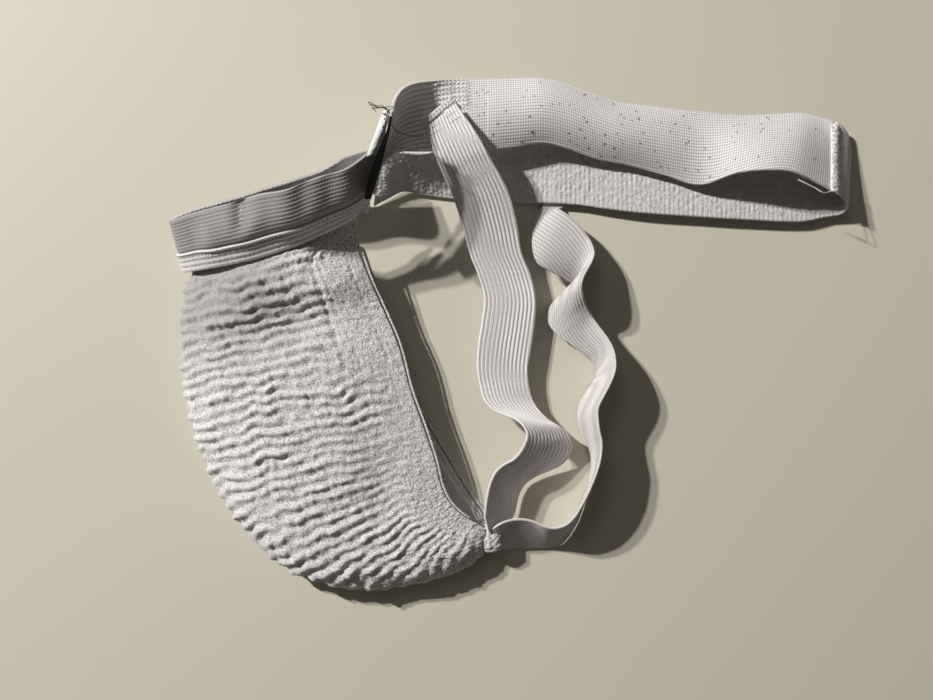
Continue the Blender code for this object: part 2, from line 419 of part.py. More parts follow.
# Waistband, its seams, side label, leg straps and strap hems.
for name, edge_a, edge_b, grid, thick, mat, crown in (
    ("waistband_front", WAISTBAND_FRONT_UPPER, WAISTBAND_FRONT_LOWER, (44, 4),
     BAND_THICK, band_mat, 0),
    ("waistband_near_hip", NEAR_HIP_UPPER, NEAR_HIP_LOWER, (14, 6),
     BAND_THICK, band_mat, NEAR_HIP_CROWN),
    ("waistband_far_hip", FAR_HIP_UPPER, FAR_HIP_LOWER, (16, 4), BAND_THICK, band_mat, 0),
    ("waistband_back_near", BACK_NEAR_UPPER, BACK_NEAR_LOWER, (26, 6),
     BAND_THICK, back_mat, BACK_NEAR_CROWN),
    ("waistband_back_far", BACK_FAR_UPPER, BACK_FAR_LOWER, (26, 4), BAND_THICK, back_mat, 0),
    ("centre_back_seam", CENTRE_BACK_NEAR, CENTRE_BACK_FAR, (8, 2),
     CENTRE_SEAM_THICK, hem_mat, 0),
    ("hip_lap_patch", LAP_PATCH_UPPER, LAP_PATCH_LOWER, (4, 4), PATCH_THICK, hem_mat, 0),
    ("near_side_seam_tape", SEAM_TAPE_FRONT, SEAM_TAPE_BACK, (8, 2),
     SEAM_TAPE_THICK, tape_mat, 0),
    ("side_label", LABEL_SEWN_EDGE, LABEL_FREE_EDGE, (10, 2), LABEL_THICK, label_mat, 0),
    ("near_leg_strap", NEAR_STRAP_FRONT, NEAR_STRAP_BACK, (56, 3), STRAP_THICK, strap_mat, 0),
    ("far_leg_strap", FAR_STRAP_TOP, FAR_STRAP_BOTTOM, (76, 3), STRAP_THICK, far_strap_mat, 0),
    ("near_strap_hem", NEAR_HEM_UPPER, NEAR_HEM_LOWER, (6, 2), STRAP_THICK, hem_mat, 0),
    ("far_strap_hem", FAR_HEM_LOWER, FAR_HEM_UPPER, (4, 2), STRAP_THICK, hem_mat, 0),
):
    strip(name, edge_a, edge_b, grid, thick, mat, crown)
cord("far_side_seam_tape", FAR_SEAM_LINE, SEAM_CORD_RADIUS, tape_mat, steps=3)

# Tack that closes the crotch tip.
bpy.ops.mesh.primitive_cube_add(size=1.0)
tack = bpy.context.object
tack.name = tack.data.name = "crotch_bartack"
tack.data.transform(Matrix.Diagonal((*(Vector(TACK_SIZE) * MM), 1.0)))
tack.location = Vector(TACK_CENTRE) * MM
tack.rotation_euler = (0.0, 0.0, TACK_TURN)
tack.data.materials.append(hem_mat)
bevel = tack.modifiers.new("edges", "BEVEL")
bevel.width = TACK_BEVEL * MM
bevel.segments = 2
file_under(tack, parts)

# Hard cup in the pocket, with vents and a soft rim.
CUP_WALL = 2.2
CUP_LENGTH = 112.0
CUP_WIDTH = 64.0
CUP_RIM_Z = 13.2
CUP_CROWN = 9.5  # rise of the shell above its rim
CUP_SUMMIT = CUP_LENGTH * 0.46  # distance of the summit from the upper edge
CUP_TOP = Vector((-7.8, 54.9, 0.0))  # centre of the cup's upper edge
CUP_AXIS = Vector((0.319, -0.948, 0.0)).normalized()  # from the upper edge to the tip
CUP_SIDE = Vector((-CUP_AXIS.y, CUP_AXIS.x, 0.0))
CUP_SEGMENTS = 32
CUP_RINGS = 8
RIM_RADIUS = 1.6
RIM_GAP = 1.7
RIM_SPREAD = 0.985  # width of the cushion's loop over the cup's
VENT_RADIUS = 2.4
VENT_DEPTH = 30.0
VENT_Z = 22.0
VENTS = ((34, -12), (34, 0), (34, 12), (56, -8), (56, 8), (76, 0))  # along, across


def signed_power(value, power):
    return math.copysign(abs(value) ** power, value)


def cup_outline():
    """Rim points, in millimetres along and across the cup."""
    outline = []
    for i in range(CUP_SEGMENTS):
        angle = 2 * math.pi * i / CUP_SEGMENTS
        along = CUP_LENGTH * (0.5 - 0.5 * signed_power(math.cos(angle), 0.82))
        taper = 1.0 - 0.52 * (along / CUP_LENGTH) ** 1.7
        outline.append((along, 0.5 * CUP_WIDTH * signed_power(math.sin(angle), 0.72) * taper))
    return outline


def cup_point(along, across, z):
    return CUP_TOP + CUP_AXIS * along + CUP_SIDE * across + Vector((0, 0, z))


def cup_mesh():
    shell = bmesh.new()
    summit = shell.verts.new(cup_point(CUP_SUMMIT, 0, CUP_RIM_Z + CUP_CROWN) * MM)
    rings = []
    for ring in range(1, CUP_RINGS + 1):
        spread = ring / CUP_RINGS
        z = CUP_RIM_Z + CUP_CROWN * (1 - spread**2.4) ** 0.75
        rings.append([
            shell.verts.new(
                cup_point(CUP_SUMMIT + (along - CUP_SUMMIT) * spread, across * spread, z) * MM
            )
            for along, across in cup_outline()
        ])
    for i in range(CUP_SEGMENTS):
        j = (i + 1) % CUP_SEGMENTS
        shell.faces.new((summit, rings[0][i], rings[0][j]))
        for inner, outer in zip(rings, rings[1:]):
            shell.faces.new((inner[i], outer[i], outer[j], inner[j]))
    bmesh.ops.recalc_face_normals(shell, faces=shell.faces)
    # Normals point up, so that the wall thickens downwards.
    if sum(face.normal.z for face in shell.faces) < 0:
        bmesh.ops.reverse_faces(shell, faces=shell.faces)
    mesh = bpy.data.meshes.new("cup_shell")
    shell.to_mesh(mesh)
    shell.free()
    return mesh


def cut_vent(cup, number, along, across):
    bpy.ops.mesh.primitive_cylinder_add(
        vertices=12, radius=VENT_RADIUS * MM, depth=VENT_DEPTH * MM,
        location=cup_point(along, across, VENT_Z) * MM,
    )
    hole = bpy.context.object
    hole.name = f"vent_cutter_{number}"
    hole.display_type = "WIRE"
    hole.hide_render = True
    file_under(hole, cutters)
    cut = cup.modifiers.new(f"vent_{number}", "BOOLEAN")
    cut.object = hole
    cut.operation = "DIFFERENCE"
    cut.solver = "EXACT"


cup = bpy.data.objects.new("cup_shell", cup_mesh())
parts.objects.link(cup)
cup.data.materials.append(cup_mat)
smooth(cup.data)
wall = cup.modifiers.new("wall", "SOLIDIFY")
wall.thickness = CUP_WALL * MM
wall.offset = -1.0
wall.use_even_offset = True
for number, (along, across) in enumerate(VENTS):
    cut_vent(cup, number, along, across)

cushion_z = CUP_RIM_Z - RIM_RADIUS - RIM_GAP
cushion_line = [cup_point(along, across * RIM_SPREAD, cushion_z) for along, across in cup_outline()]
tube("cup_rim_cushion", cushion_line, RIM_RADIUS, rim_mat, closed=True)

# Loose thread ends.
cord("black_thread_tuft", BLACK_THREAD_LINE, THREAD_RADIUS, thread_mat)
cord("label_thread_end", LABEL_THREAD_LINE, THREAD_RADIUS, thread_mat)
cord("back_seam_thread_end", WHITE_THREAD_LINE, THREAD_RADIUS, white_thread_mat)
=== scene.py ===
"""An athletic supporter with a cup, lying on its side on the floor.

The front of the waistband and the pouch point to -X, the centre back to +X, the waistband lies
at +Y and the pouch tip at -Y. "Near" parts are on the upper side (+Z), "far" parts are
mostly on the floor at z = 0. Cloth is worked out in millimetres and built in metres.
"""
import functools
import math

import bpy
import numpy as np
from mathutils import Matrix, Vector


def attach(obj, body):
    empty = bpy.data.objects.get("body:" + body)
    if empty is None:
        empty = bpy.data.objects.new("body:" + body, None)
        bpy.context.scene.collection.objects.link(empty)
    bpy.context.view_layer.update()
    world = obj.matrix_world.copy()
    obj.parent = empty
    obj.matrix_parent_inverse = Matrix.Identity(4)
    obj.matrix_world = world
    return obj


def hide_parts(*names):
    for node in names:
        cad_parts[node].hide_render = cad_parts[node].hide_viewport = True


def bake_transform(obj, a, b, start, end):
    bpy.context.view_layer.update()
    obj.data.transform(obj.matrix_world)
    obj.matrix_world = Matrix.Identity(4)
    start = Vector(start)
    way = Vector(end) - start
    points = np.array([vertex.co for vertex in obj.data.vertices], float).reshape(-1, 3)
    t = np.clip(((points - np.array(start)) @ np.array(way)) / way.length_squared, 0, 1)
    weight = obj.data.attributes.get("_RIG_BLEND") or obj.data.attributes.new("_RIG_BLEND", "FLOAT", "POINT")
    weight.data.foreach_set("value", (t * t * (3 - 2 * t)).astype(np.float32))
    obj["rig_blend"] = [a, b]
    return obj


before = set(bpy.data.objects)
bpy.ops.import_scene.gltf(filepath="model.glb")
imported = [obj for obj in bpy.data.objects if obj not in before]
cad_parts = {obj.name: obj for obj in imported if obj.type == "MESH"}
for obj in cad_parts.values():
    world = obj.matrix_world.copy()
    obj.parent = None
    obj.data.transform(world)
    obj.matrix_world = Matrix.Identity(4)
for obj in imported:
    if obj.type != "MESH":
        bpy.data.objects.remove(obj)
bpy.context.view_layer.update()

DETAIL = 1.0
MM = 0.001
UV_PER_MM = 0.01
MM_PER_UV = 100
LOWEST = 0.02  # mm, cloth on the floor is kept above this height
TAU = math.tau

# ---------------------------------------------------------------- edge lines: x, y, z in mm
# Each strip of cloth runs between two lines that have the same number of points.
WAISTBAND_FRONT_UPPER = (
    (36.6, 131.6, 19), (25.4, 124.8, 28), (14.2, 120.6, 30.5), (1.5, 116.8, 31.5),
    (-11, 113.7, 31), (-22.9, 110.2, 29.5), (-34.9, 107.3, 27.5), (-45.3, 104.8, 25),
    (-53.4, 102.4, 22.5), (-57.2, 100.6, 21.5), (-55, 100.1, 23.5), (-46.2, 102, 28.5),
    (-33.3, 104.5, 34), (-19.3, 107.3, 39.5), (-6.1, 109.7, 44.5), (7, 112.2, 48.5),
    (18, 115.3, 51), (29.4, 120.2, 51), (38.9, 128.1, 48.5), (45.8, 142.9, 46),
    (47.4, 144.3, 46.4),
)
FAR_END_CURL = (9, 14, 5, 2.5)  # added to z at the first points of WAISTBAND_FRONT_UPPER
WAISTBAND_FRONT_LOWER = (
    (32.5, 109.1, 1.2), (24.6, 104.7, 0.9), (17.3, 101.3, 0.9), (2.6, 94.5, 0.9),
    (-9.6, 90.1, 0.9), (-21.9, 86.2, 0.9), (-35.1, 82.7, 0.9), (-46.3, 80.3, 0.9),
    (-53.4, 78.3, 1.8), (-55.4, 77.1, 4.5), (-52.6, 76.8, 8.5), (-43.9, 77.5, 14),
    (-28.9, 79.7, 19), (-14, 82.7, 23), (0.5, 87, 26), (12.8, 92, 27.5),
    (22.7, 96.5, 28.5), (28.8, 100.1, 29.5), (32.1, 102.7, 30.3), (34.2, 105.8, 31),
    (36.6, 108.1, 31.3),
)
# From the near side seam to the centre back.
WAISTBAND_NEAR_UPPER = (
    (48.4, 145.5, 46), (49.6, 152.1, 43), (52.4, 157.8, 38), (57.4, 162.4, 30),
    (66.3, 166, 20), (76.1, 167.7, 14.5), (90.9, 168.7, 11.5),
    (92.4, 168.7, 11.5), (104.8, 169.2, 10.5), (116.9, 169.3, 10), (127.5, 167.5, 9.5),
    (141, 162.9, 9), (154.6, 158.4, 8.5), (174.9, 155.9, 8), (194.3, 154.1, 7.5),
    (214, 152.5, 6), (228.8, 153, 5), (243.4, 153.7, 5), (253.7, 151.3, 6),
    (258.7, 149.8, 7),
)
WAISTBAND_NEAR_LOWER = (
    (38.7, 110.4, 31.5), (42.9, 122.6, 35), (50.3, 129.3, 33.5), (59.2, 130.9, 28.5),
    (67.3, 132.1, 22.5), (77.1, 133.2, 18), (90.8, 134.2, 15.3),
    (92.3, 134.2, 15.3), (104.7, 135.8, 14.3), (118.1, 137.7, 13.5), (130.1, 135.3, 12),
    (144.9, 130.9, 9), (158, 128.6, 8.2), (176.8, 123.5, 8.2), (193.6, 118.3, 10.5),
    (208.8, 121.9, 22), (220.6, 122.5, 26.5), (233.4, 121.7, 25.5), (246.6, 117.1, 21),
    (254.7, 113.8, 18),
)
# Height in mm added along the middle of the near waistband, at the points above.
WAISTBAND_NEAR_CROWN = (
    0, -2, -4, -3.5, 0, 4, 6.2,
    6.4, 7.2, 8, 7.8, 8.2, 8.4, 7, 4.8, 4.4, 4.2, 3.6, 1.6, 0,
)
# From the centre back, round the end and along the floor to the far side seam.
WAISTBAND_FAR_UPPER = (
    (260.1, 149.4, 7), (263.4, 147.7, 5.8), (266.8, 143.7, 4), (268.5, 137.2, 2.6),
    (268.5, 132, 1.4), (265.2, 130.7, 0.9), (258.4, 132.1, 0.9), (256.9, 132.6, 0.9),
    (244.7, 135.1, 0.9), (215.4, 139, 0.9), (190.9, 140.4, 0.9), (166.4, 142.4, 0.9),
    (149.3, 144.3, 1), (136.1, 146.2, 1.6),
    (134.6, 146.6, 1.8), (124.8, 146.6, 2), (107.7, 146, 2.2), (93, 145, 2.4),
    (82.3, 142.2, 4.5), (72.7, 136.6, 10.5), (61.5, 132.2, 18.5), (50.4, 132.2, 22),
    (42.9, 132.7, 22), (38.9, 133.5, 19),
)
WAISTBAND_FAR_LOWER = (
    (256.5, 113.3, 17), (259.8, 112.5, 14.5), (263.1, 110.5, 12), (264.9, 108, 9),
    (264.2, 105.7, 6.5), (261.8, 104.5, 5), (257.2, 103.8, 4.4), (255.7, 103.5, 4.4),
    (243.4, 101.3, 5), (214.1, 102.4, 5.5), (189.9, 103.9, 5.5), (165.7, 105.6, 5.5),
    (148.8, 107.6, 5), (135.7, 109.6, 4.4),
    (134.3, 109.6, 4.3), (124.6, 110.4, 4.2), (107.6, 111, 3.4), (93, 111.8, 2.9),
    (83.3, 112.2, 2.2), (73.5, 113.2, 1.6), (61.3, 114.9, 1.6), (50.6, 116.5, 2.6),
    (41.9, 112.3, 2.6), (36.4, 109.5, 1.6),
)
# From the waistband to the crotch join.
NEAR_STRAP_INNER = (
    (63.3, 142.3, 28.2), (64.3, 137.1, 28.6), (66.1, 131.6, 28.4), (68.4, 125.8, 27.4),
    (70.7, 120.6, 25.6), (75.7, 109.6, 21), (79.9, 97, 16.3), (83.3, 84.5, 13),
    (87.1, 75.1, 11.8), (90, 64.1, 11.2), (88.8, 52.6, 11.2), (87.1, 41.6, 11.5),
    (86.6, 30.6, 11.5), (88, 22, 12), (89.9, 15.4, 14), (94.1, 10.8, 16.5),
    (99.7, 8.6, 19), (104.3, 6.8, 21), (107.5, 4.1, 23), (109.4, 0.4, 23.5),
    (108.9, -3.3, 23.5), (106.6, -8.1, 22.5), (103.4, -11.9, 21.5), (98.7, -14.6, 21),
    (94.9, -17.9, 22), (92.6, -22.6, 22.5), (91.2, -28.3, 22), (90.3, -34.5, 21),
    (90, -39.4, 20), (90.8, -42.7, 18.5), (91.8, -46.2, 16), (93.3, -50.2, 12),
)
NEAR_STRAP_OUTER = (
    (76.7, 154.2, 24.8), (80.9, 147.6, 27.2), (86, 139.9, 28.8), (90.1, 133, 28.4),
    (93.4, 127.4, 26.4), (101.1, 114.3, 21.2), (105.5, 99.9, 16), (108.1, 86.1, 12),
    (112.6, 75.2, 9.6), (115, 63.2, 9.3), (114.3, 51.2, 8.9), (112.6, 39.2, 8.8),
    (111.2, 29.6, 8.8), (111.7, 22.4, 9), (113.6, 15.1, 9), (116.8, 10, 11),
    (121.4, 5.3, 13), (126.1, 2.5, 14), (129.6, 0.1, 13), (131.7, -3.9, 11),
    (132.4, -8, 8.5), (130.7, -13.1, 6), (127.5, -16.6, 4.5), (121.7, -19.4, 3.5),
    (115.4, -22.2, 3), (110.6, -25.6, 2.5), (107.7, -30, 2.5), (106.2, -34.9, 2.5),
    (105.5, -38.8, 2.5), (104.3, -41.7, 2.5), (101.8, -44.6, 3), (98.3, -48.8, 4),
)
# From the crotch join to the waistband.
FAR_STRAP_TOP = (
    (92.3, -47.2, 13), (94.6, -44.7, 16.5),
    (97.4, -42.4, 19), (101.1, -40.9, 19.5), (104.9, -40.2, 19.5), (108.7, -40.3, 19.5),
    (112.9, -41.3, 19.5), (118.5, -43.7, 19.5), (123.5, -44.3, 20), (128.3, -42.7, 21),
    (132.3, -38.6, 23), (134.9, -34, 24.5), (137.6, -28.7, 25.5), (139.9, -23.5, 26),
    (142.2, -17.5, 26), (144.1, -11, 25.5), (144.6, -4, 25.5), (143.4, 2.5, 25.5),
    (142.8, 8.9, 25), (143.3, 13.1, 25), (145.8, 18, 25), (148.4, 22.9, 25),
    (150.9, 28.9, 24), (151.6, 34, 22), (150.8, 39.7, 19.5), (148.4, 44.9, 17),
    (144.6, 50.6, 14.5), (141.4, 55.4, 14), (138.4, 60.5, 17), (136.4, 65.4, 22),
    (135.5, 69.9, 25), (136.2, 73.4, 25), (138.6, 77.6, 22.5), (140.7, 81.1, 19.5),
    (142.1, 85.3, 17), (141.2, 90.1, 15), (139, 94.2, 13.5), (134.1, 100.3, 12.8),
    (129.2, 104.5, 12.2), (126.4, 106.5, 11), (125.3, 107.5, 9.5), (125.3, 107.5, 7.2),
    (127, 107.9, 4.4), (129.7, 109.3, 1.8), (132.7, 112.6, 0.8),
)
FAR_STRAP_BOTTOM = (
    (93, -54.6, 4), (96, -57.4, 2.4),
    (99.4, -58.6, 1.2), (103.8, -58.4, 1), (108.2, -57.9, 1), (113.1, -57.5, 1),
    (118, -57.4, 1), (122.4, -57.1, 1), (127.3, -55.9, 1), (131.2, -51.8, 1),
    (134.6, -46.4, 1), (137.1, -40.5, 1), (139, -34.6, 1), (141, -28.8, 1),
    (142.2, -22.9, 1), (143, -17, 1), (142.2, -11.7, 1), (140, -6.3, 1),
    (138.1, -1.4, 1), (136.4, 4, 1), (136.1, 9.4, 1), (137.3, 14.3, 1),
    (140.5, 18.7, 1), (143.9, 23.6, 1), (145.7, 28.9, 1), (143.1, 33.8, 2),
    (138, 37.5, 3.2), (132.7, 41.6, 4.2), (126.1, 46.2, 4), (121.8, 51.6, 2.6),
    (120.8, 56.5, 1.6), (122.9, 60.7, 1.2), (126.8, 64.9, 1), (130.7, 68.6, 1.2),
    (133.1, 71.1, 2), (130.3, 72.9, 5), (125.1, 75.3, 9), (119.2, 78.1, 11.6),
    (115.5, 80.8, 12), (113.5, 85.7, 11), (113.1, 92.1, 9), (113.7, 97.7, 7),
    (115.3, 103.3, 4.4), (118, 108, 1.8), (120.5, 113.6, 0.8),
)
SEAM_ALLOWANCE_OUTER = (
    (45.2, 143.9, 50), (43.7, 140, 51), (41.9, 135.3, 52), (39.7, 129.6, 52),
    (37.7, 123.8, 52.6),
)
SEAM_ALLOWANCE_INNER = (
    (47.6, 144.8, 52), (46.7, 140.9, 52.5), (45.2, 136.1, 52.5), (43.1, 131.1, 51.5),
    (40.7, 125.4, 51),
)
LABEL_FREE_EDGE = (
    (48.8, 141.5, 54), (46.5, 133.8, 55), (42.5, 125.3, 54), (39.2, 117.3, 52),
    (37.3, 111.3, 48.5), (36.1, 106.5, 45),
)
LABEL_SEWN_EDGE = (
    (48.7, 142, 49.6), (47, 134.5, 47.5), (45.1, 127.4, 45.5), (43.1, 120.6, 43.5),
    (40.8, 114.4, 40.5), (38, 107.7, 37),
)
NEAR_HEM_UPPER = ((60.6, 144.9, 28.8), (67.4, 151.1, 26.2), (74.3, 157.6, 22.6))
NEAR_HEM_LOWER = ((62.5, 143, 28.6), (69.3, 148.9, 26.6), (75.9, 155.2, 24))
FAR_HEM_UPPER = ((120, 115.3, 0.8), (133.2, 114.3, 0.8))
FAR_HEM_LOWER = ((120, 120.9, 0.8), (133.2, 119.9, 0.8))
CENTRE_BACK_NEAR = ((256.9, 148.2, 9.8), (255.1, 130.4, 15.4), (253.3, 113.9, 20.6))
CENTRE_BACK_FAR = ((260.8, 147.4, 9.2), (259, 129.2, 14), (257.4, 112.8, 18.5))

# Centre lines of tubes and threads.
FAR_SEAM_LINE = ((36.1, 117.7, 11.5), (34.1, 111.5, 8), (32.6, 105.7, 5))
BLACK_THREAD_LINE = (
    (39.6, 146.5, 54), (41.3, 145.4, 56), (43.1, 144.6, 56.5), (45.3, 144.6, 56.5),
    (47.4, 143.8, 55.5), (48.1, 141.9, 56),
)
LABEL_THREAD_LINE = (
    (47.6, 138.1, 58.5), (49.2, 136.6, 56.5), (51.4, 135.3, 51), (54.7, 134.8, 46.5),
    (58.5, 135.2, 42), (62.4, 136, 38.6),
)
WHITE_THREAD_LINE = (
    (234.4, 117.8, 29.5), (238.1, 116, 29.5), (242.6, 114.1, 28.5), (246.7, 112.1, 27.5),
)
NEAR_BINDING_LINE = (
    (31.8, 88, 19.6), (36.5, 74.3, 19.2), (42, 61.7, 17.6), (50.5, 41.9, 17.5),
    (56.1, 20.6, 17.5), (62.8, 2.1, 17.5), (67.7, -13, 17.5), (70.6, -24.9, 17),
    (74.3, -32.5, 16.5), (79.1, -37.6, 16), (83.6, -40.8, 15),
)
FAR_BINDING_LINE = (
    (29.9, 90, 0.8), (34.8, 75.8, 0.8), (40.6, 62.6, 0.8), (49.4, 42, 0.8),
    (54.6, 20, 0.8), (65.1, 0, 0.8), (74.2, -15.2, 0.8), (81.5, -27.4, 0.8),
    (86.6, -34.8, 0.8), (89.6, -38.7, 0.8), (91.5, -42.1, 0.8),
)

# One cross-section for each group, from the waistband to the tip: near leg edge, over the
# front fold, far leg edge. Points are x, y, z in mm.
POUCH_SECTIONS = (
    ((33.3, 112.6, 32.2), (25.9, 105.4, 33.4), (11.1, 99, 31.9), (-9.9, 92.5, 27.6),
     (-29, 87.9, 21.4), (-50, 84, 11.4), (-44.8, 85.5, 11), (-24.7, 91.1, 12),
     (2.3, 99.6, 12.7), (24.8, 109.1, 11.6)),
    ((30.8, 103.4, 26.4), (26.4, 98.9, 26.1), (13, 92.3, 25), (-8, 84.6, 21.9),
     (-27.6, 79.7, 16.4), (-49.4, 76.3, 6), (-45.1, 77.5, 3.2), (-24.5, 83.1, 2.7),
     (2.6, 92.2, 2.6), (24.6, 102.5, 2.7)),
    ((30.7, 87.7, 19.6), (16.7, 83.6, 22.9), (-0.9, 78.9, 23.4), (-20.6, 74, 21.2),
     (-39.5, 69.7, 16.2), (-52.8, 67.1, 9.3), (-46.8, 69.8, 0.9), (-21.7, 76.4, 0.9),
     (3.4, 83, 0.9), (28.5, 89.6, 0.9)),
    ((35.4, 74.1, 19.2), (20.4, 70.2, 24.2), (1.6, 65.8, 25), (-19.2, 61.2, 24),
     (-39.1, 57, 20), (-53.7, 54.5, 11.5), (-47.6, 56.9, 0.9), (-20.6, 63.1, 0.9),
     (6.4, 69.2, 0.9), (33.4, 75.4, 0.9)),
    ((40.9, 61.4, 17.6), (24.5, 57.5, 20.6), (4.4, 52.8, 22.4), (-17.8, 47.7, 22.4),
     (-38.6, 43.1, 20.5), (-53.9, 40.2, 12.5), (-47.4, 42.4, 0.9), (-18.5, 49, 0.9),
     (10.4, 55.6, 0.9), (39.3, 62.2, 0.9)),
    ((49.4, 41.6, 17.5), (31.8, 37.7, 20.8), (10.6, 33.1, 25), (-13.1, 28.1, 24.9),
     (-35.5, 23.4, 22), (-51.8, 20.1, 13), (-44.8, 21.8, 0.9), (-13.8, 28.4, 0.9),
     (17.1, 35, 0.9), (48.1, 41.6, 0.9)),
    ((55.1, 20.3, 17.5), (37.3, 16.6, 20.8), (16, 12.2, 25.4), (-7.8, 7.2, 24.9),
     (-30.3, 2.3, 22), (-46.6, -1.4, 13), (-39.5, -0.2, 0.9), (-8.6, 6.4, 0.9),
     (22.3, 13, 0.9), (53.2, 19.6, 0.9)),
    ((61.7, 1.8, 17.5), (44.1, -2.1, 20.6), (23, -6.7, 24.6), (-0.5, -12.2, 24.4),
     (-22.5, -17.6, 21.8), (-38.6, -21.9, 12.5), (-30.9, -21.1, 0.9), (0.6, -14.2, 0.9),
     (32.2, -7.3, 0.9), (63.7, -0.4, 0.9)),
    ((66.7, -13.3, 17.5), (50.3, -18.2, 19.8), (30.6, -24.1, 22.8), (8.8, -30.9, 23.2),
     (-11.5, -37.5, 21.2), (-26.2, -43, 12.3), (-18.6, -42, 0.9), (11.9, -33.2, 0.9),
     (42.3, -24.4, 0.9), (72.8, -15.6, 0.9)),
    ((69.5, -25.2, 17), (55.6, -31, 19), (38.6, -38.2, 20.6), (20, -46.3, 21),
     (2.8, -53.9, 19.8), (-9.6, -60.4, 11.5), (-2.4, -59.1, 0.9), (25.1, -48.6, 0.9),
     (52.6, -38.2, 0.9), (80.1, -27.8, 0.9)),
    ((73.3, -32.8, 16.5), (62.5, -39.2, 18), (49.4, -47.1, 19.2), (35, -55.9, 19.3),
     (21.7, -64.3, 17.8), (12.3, -71.1, 10.5), (18.3, -69.5, 0.9), (40.6, -58, 0.9),
     (63, -46.6, 0.9), (85.2, -35.1, 0.9)),
    ((78, -37.9, 16), (70.6, -44.1, 17), (61.6, -51.8, 17.9), (51.7, -60.3, 17.7),
     (42.5, -68.5, 15.8), (36.2, -75, 9.5), (40.6, -73.2, 0.9), (56.5, -61.8, 0.9),
     (72.3, -50.4, 0.9), (88.2, -39.1, 0.9)),
    ((82.5, -41.1, 15), (78.6, -46.3, 16), (73.7, -52.6, 17), (68.4, -59.8, 16.8),
     (63.5, -66.8, 14.6), (60.1, -72.3, 8.5), (62.9, -70.9, 0.9), (72, -61.4, 0.9),
     (81, -52, 0.9), (90.1, -42.5, 0.9)),
    ((87.1, -43.7, 14), (85.7, -47.4, 15), (84, -51.9, 15.6), (82.2, -57.2, 14.8),
     (80.5, -62.5, 12.2), (79.4, -66.5, 7.5), (80.6, -65.8, 0.9), (84.3, -59.3, 0.9),
     (87.9, -52.9, 0.9), (91.6, -46.4, 0.9)),
    ((90.7, -46.5, 12.6), (90.5, -48.6, 12.8), (90.4, -51.3, 12.4), (90.2, -54.2, 11.6),
     (90.1, -57.2, 9.6), (90, -59.5, 6.2), (90.3, -59.5, 0.9), (90.9, -56.5, 0.9),
     (91.5, -53.4, 0.9), (92.1, -50.3, 0.9)),
)
LINING_SECTIONS = (
    ((33, 73.8, 16.6), (28.5, 73.2, 12), (21.8, 72.1, 7.4), (-1.4, 66.8, 6.9),
     (-22.8, 62, 6.9), (-37.2, 58.7, 6.6), (-45.2, 57.1, 4.9), (-38.1, 58.9, 2.9),
     (-15.7, 64, 2.7), (6.7, 69.1, 2.7), (31.3, 74.8, 2.7)),
    ((38.4, 61, 15), (33.8, 60.2, 12), (26.7, 58.9, 7.4), (1.9, 53.2, 6.9),
     (-21.1, 48, 6.9), (-36.4, 44.5, 6.6), (-45, 42.7, 4.9), (-37.3, 44.6, 2.9),
     (-13.4, 50, 2.7), (10.6, 55.5, 2.7), (37, 61.6, 2.7)),
    ((46.7, 41, 14.9), (42, 40.1, 12), (34.5, 38.6, 7.4), (7.8, 32.9, 6.9),
     (-16.7, 27.7, 6.9), (-33.1, 24.2, 6.6), (-42.2, 22.3, 4.9), (-34, 24.1, 2.9),
     (-8.4, 29.6, 2.7), (17.4, 35.1, 2.7), (45.6, 41.1, 2.7)),
    ((52.4, 19.6, 14.9), (47.7, 18.6, 12), (40.2, 16.9, 7.4), (13.4, 11.2, 6.9),
     (-11.2, 6, 6.9), (-27.7, 2.5, 6.6), (-36.8, 0.5, 4.9), (-28.7, 2.2, 2.9),
     (-3.1, 7.6, 2.7), (22.5, 13.1, 2.7), (50.8, 19.2, 2.7)),
    ((59.1, 1.1, 14.9), (54.5, -0.2, 12), (47.1, -2.2, 7.4), (20.8, -8.4, 6.9),
     (-3.5, -14.1, 6.9), (-19.8, -17.9, 6.6), (-28.8, -20.2, 4.9), (-20, -18.6, 2.9),
     (6.2, -12.9, 2.7), (32.4, -7.2, 2.7), (61.2, -0.8, 2.7)),
    ((64.3, -14.3, 14.9), (60, -15.9, 12), (53.3, -18.5, 7.4), (28.9, -26.2, 6.9),
     (6.4, -33.3, 6.9), (-8.7, -38.1, 6.6), (-17, -40.9, 4.9), (-8.1, -38.8, 2.9),
     (17.2, -31.5, 2.7), (42.5, -24.2, 2.7), (70.3, -16.1, 2.7)),
    ((67.5, -26.4, 14.4), (63.9, -28.2, 12), (58.1, -31.3, 7.4), (37.4, -40.4, 6.9),
     (18.2, -48.8, 6.9), (5.4, -54.4, 6.6), (-1.6, -57.7, 4.9), (7, -55.2, 2.9),
     (29.9, -46.6, 2.7), (52.7, -38, 2.7), (77.8, -28.4, 2.7)),
    ((71.7, -34.1, 13.9), (69, -36.1, 12), (64.5, -39.5, 7.4), (48.6, -49.3, 6.9),
     (33.9, -58.4, 6.9), (24, -64.5, 6.6), (18.6, -68, 4.9), (26, -65.2, 2.9),
     (44.5, -55.8, 2.7), (63, -46.3, 2.7), (83.4, -35.8, 2.7)),
    ((77, -39.2, 13.4), (75.1, -41, 12), (72.1, -44.3, 7.4), (61.1, -53.8, 6.9),
     (51, -62.5, 6.9), (44.3, -68.4, 6.6), (40.6, -71.8, 4.9), (46.1, -69, 2.9),
     (59.2, -59.5, 2.7), (72.4, -50.1, 2.7), (86.8, -39.7, 2.7)),
    ((82, -42.3, 12.4), (81, -43.9, 11), (79.4, -46.6, 7.4), (73.6, -54.5, 6.9),
     (68.2, -61.8, 6.9), (64.6, -66.7, 6.6), (62.6, -69.6, 4.9), (66, -67.3, 2.9),
     (73.5, -59.5, 2.7), (81, -51.6, 2.7), (89.4, -43, 2.7)),
)


# ---------------------------------------------------------------- curves and noise
def steps(count):
    return max(4, int(count * DETAIL))


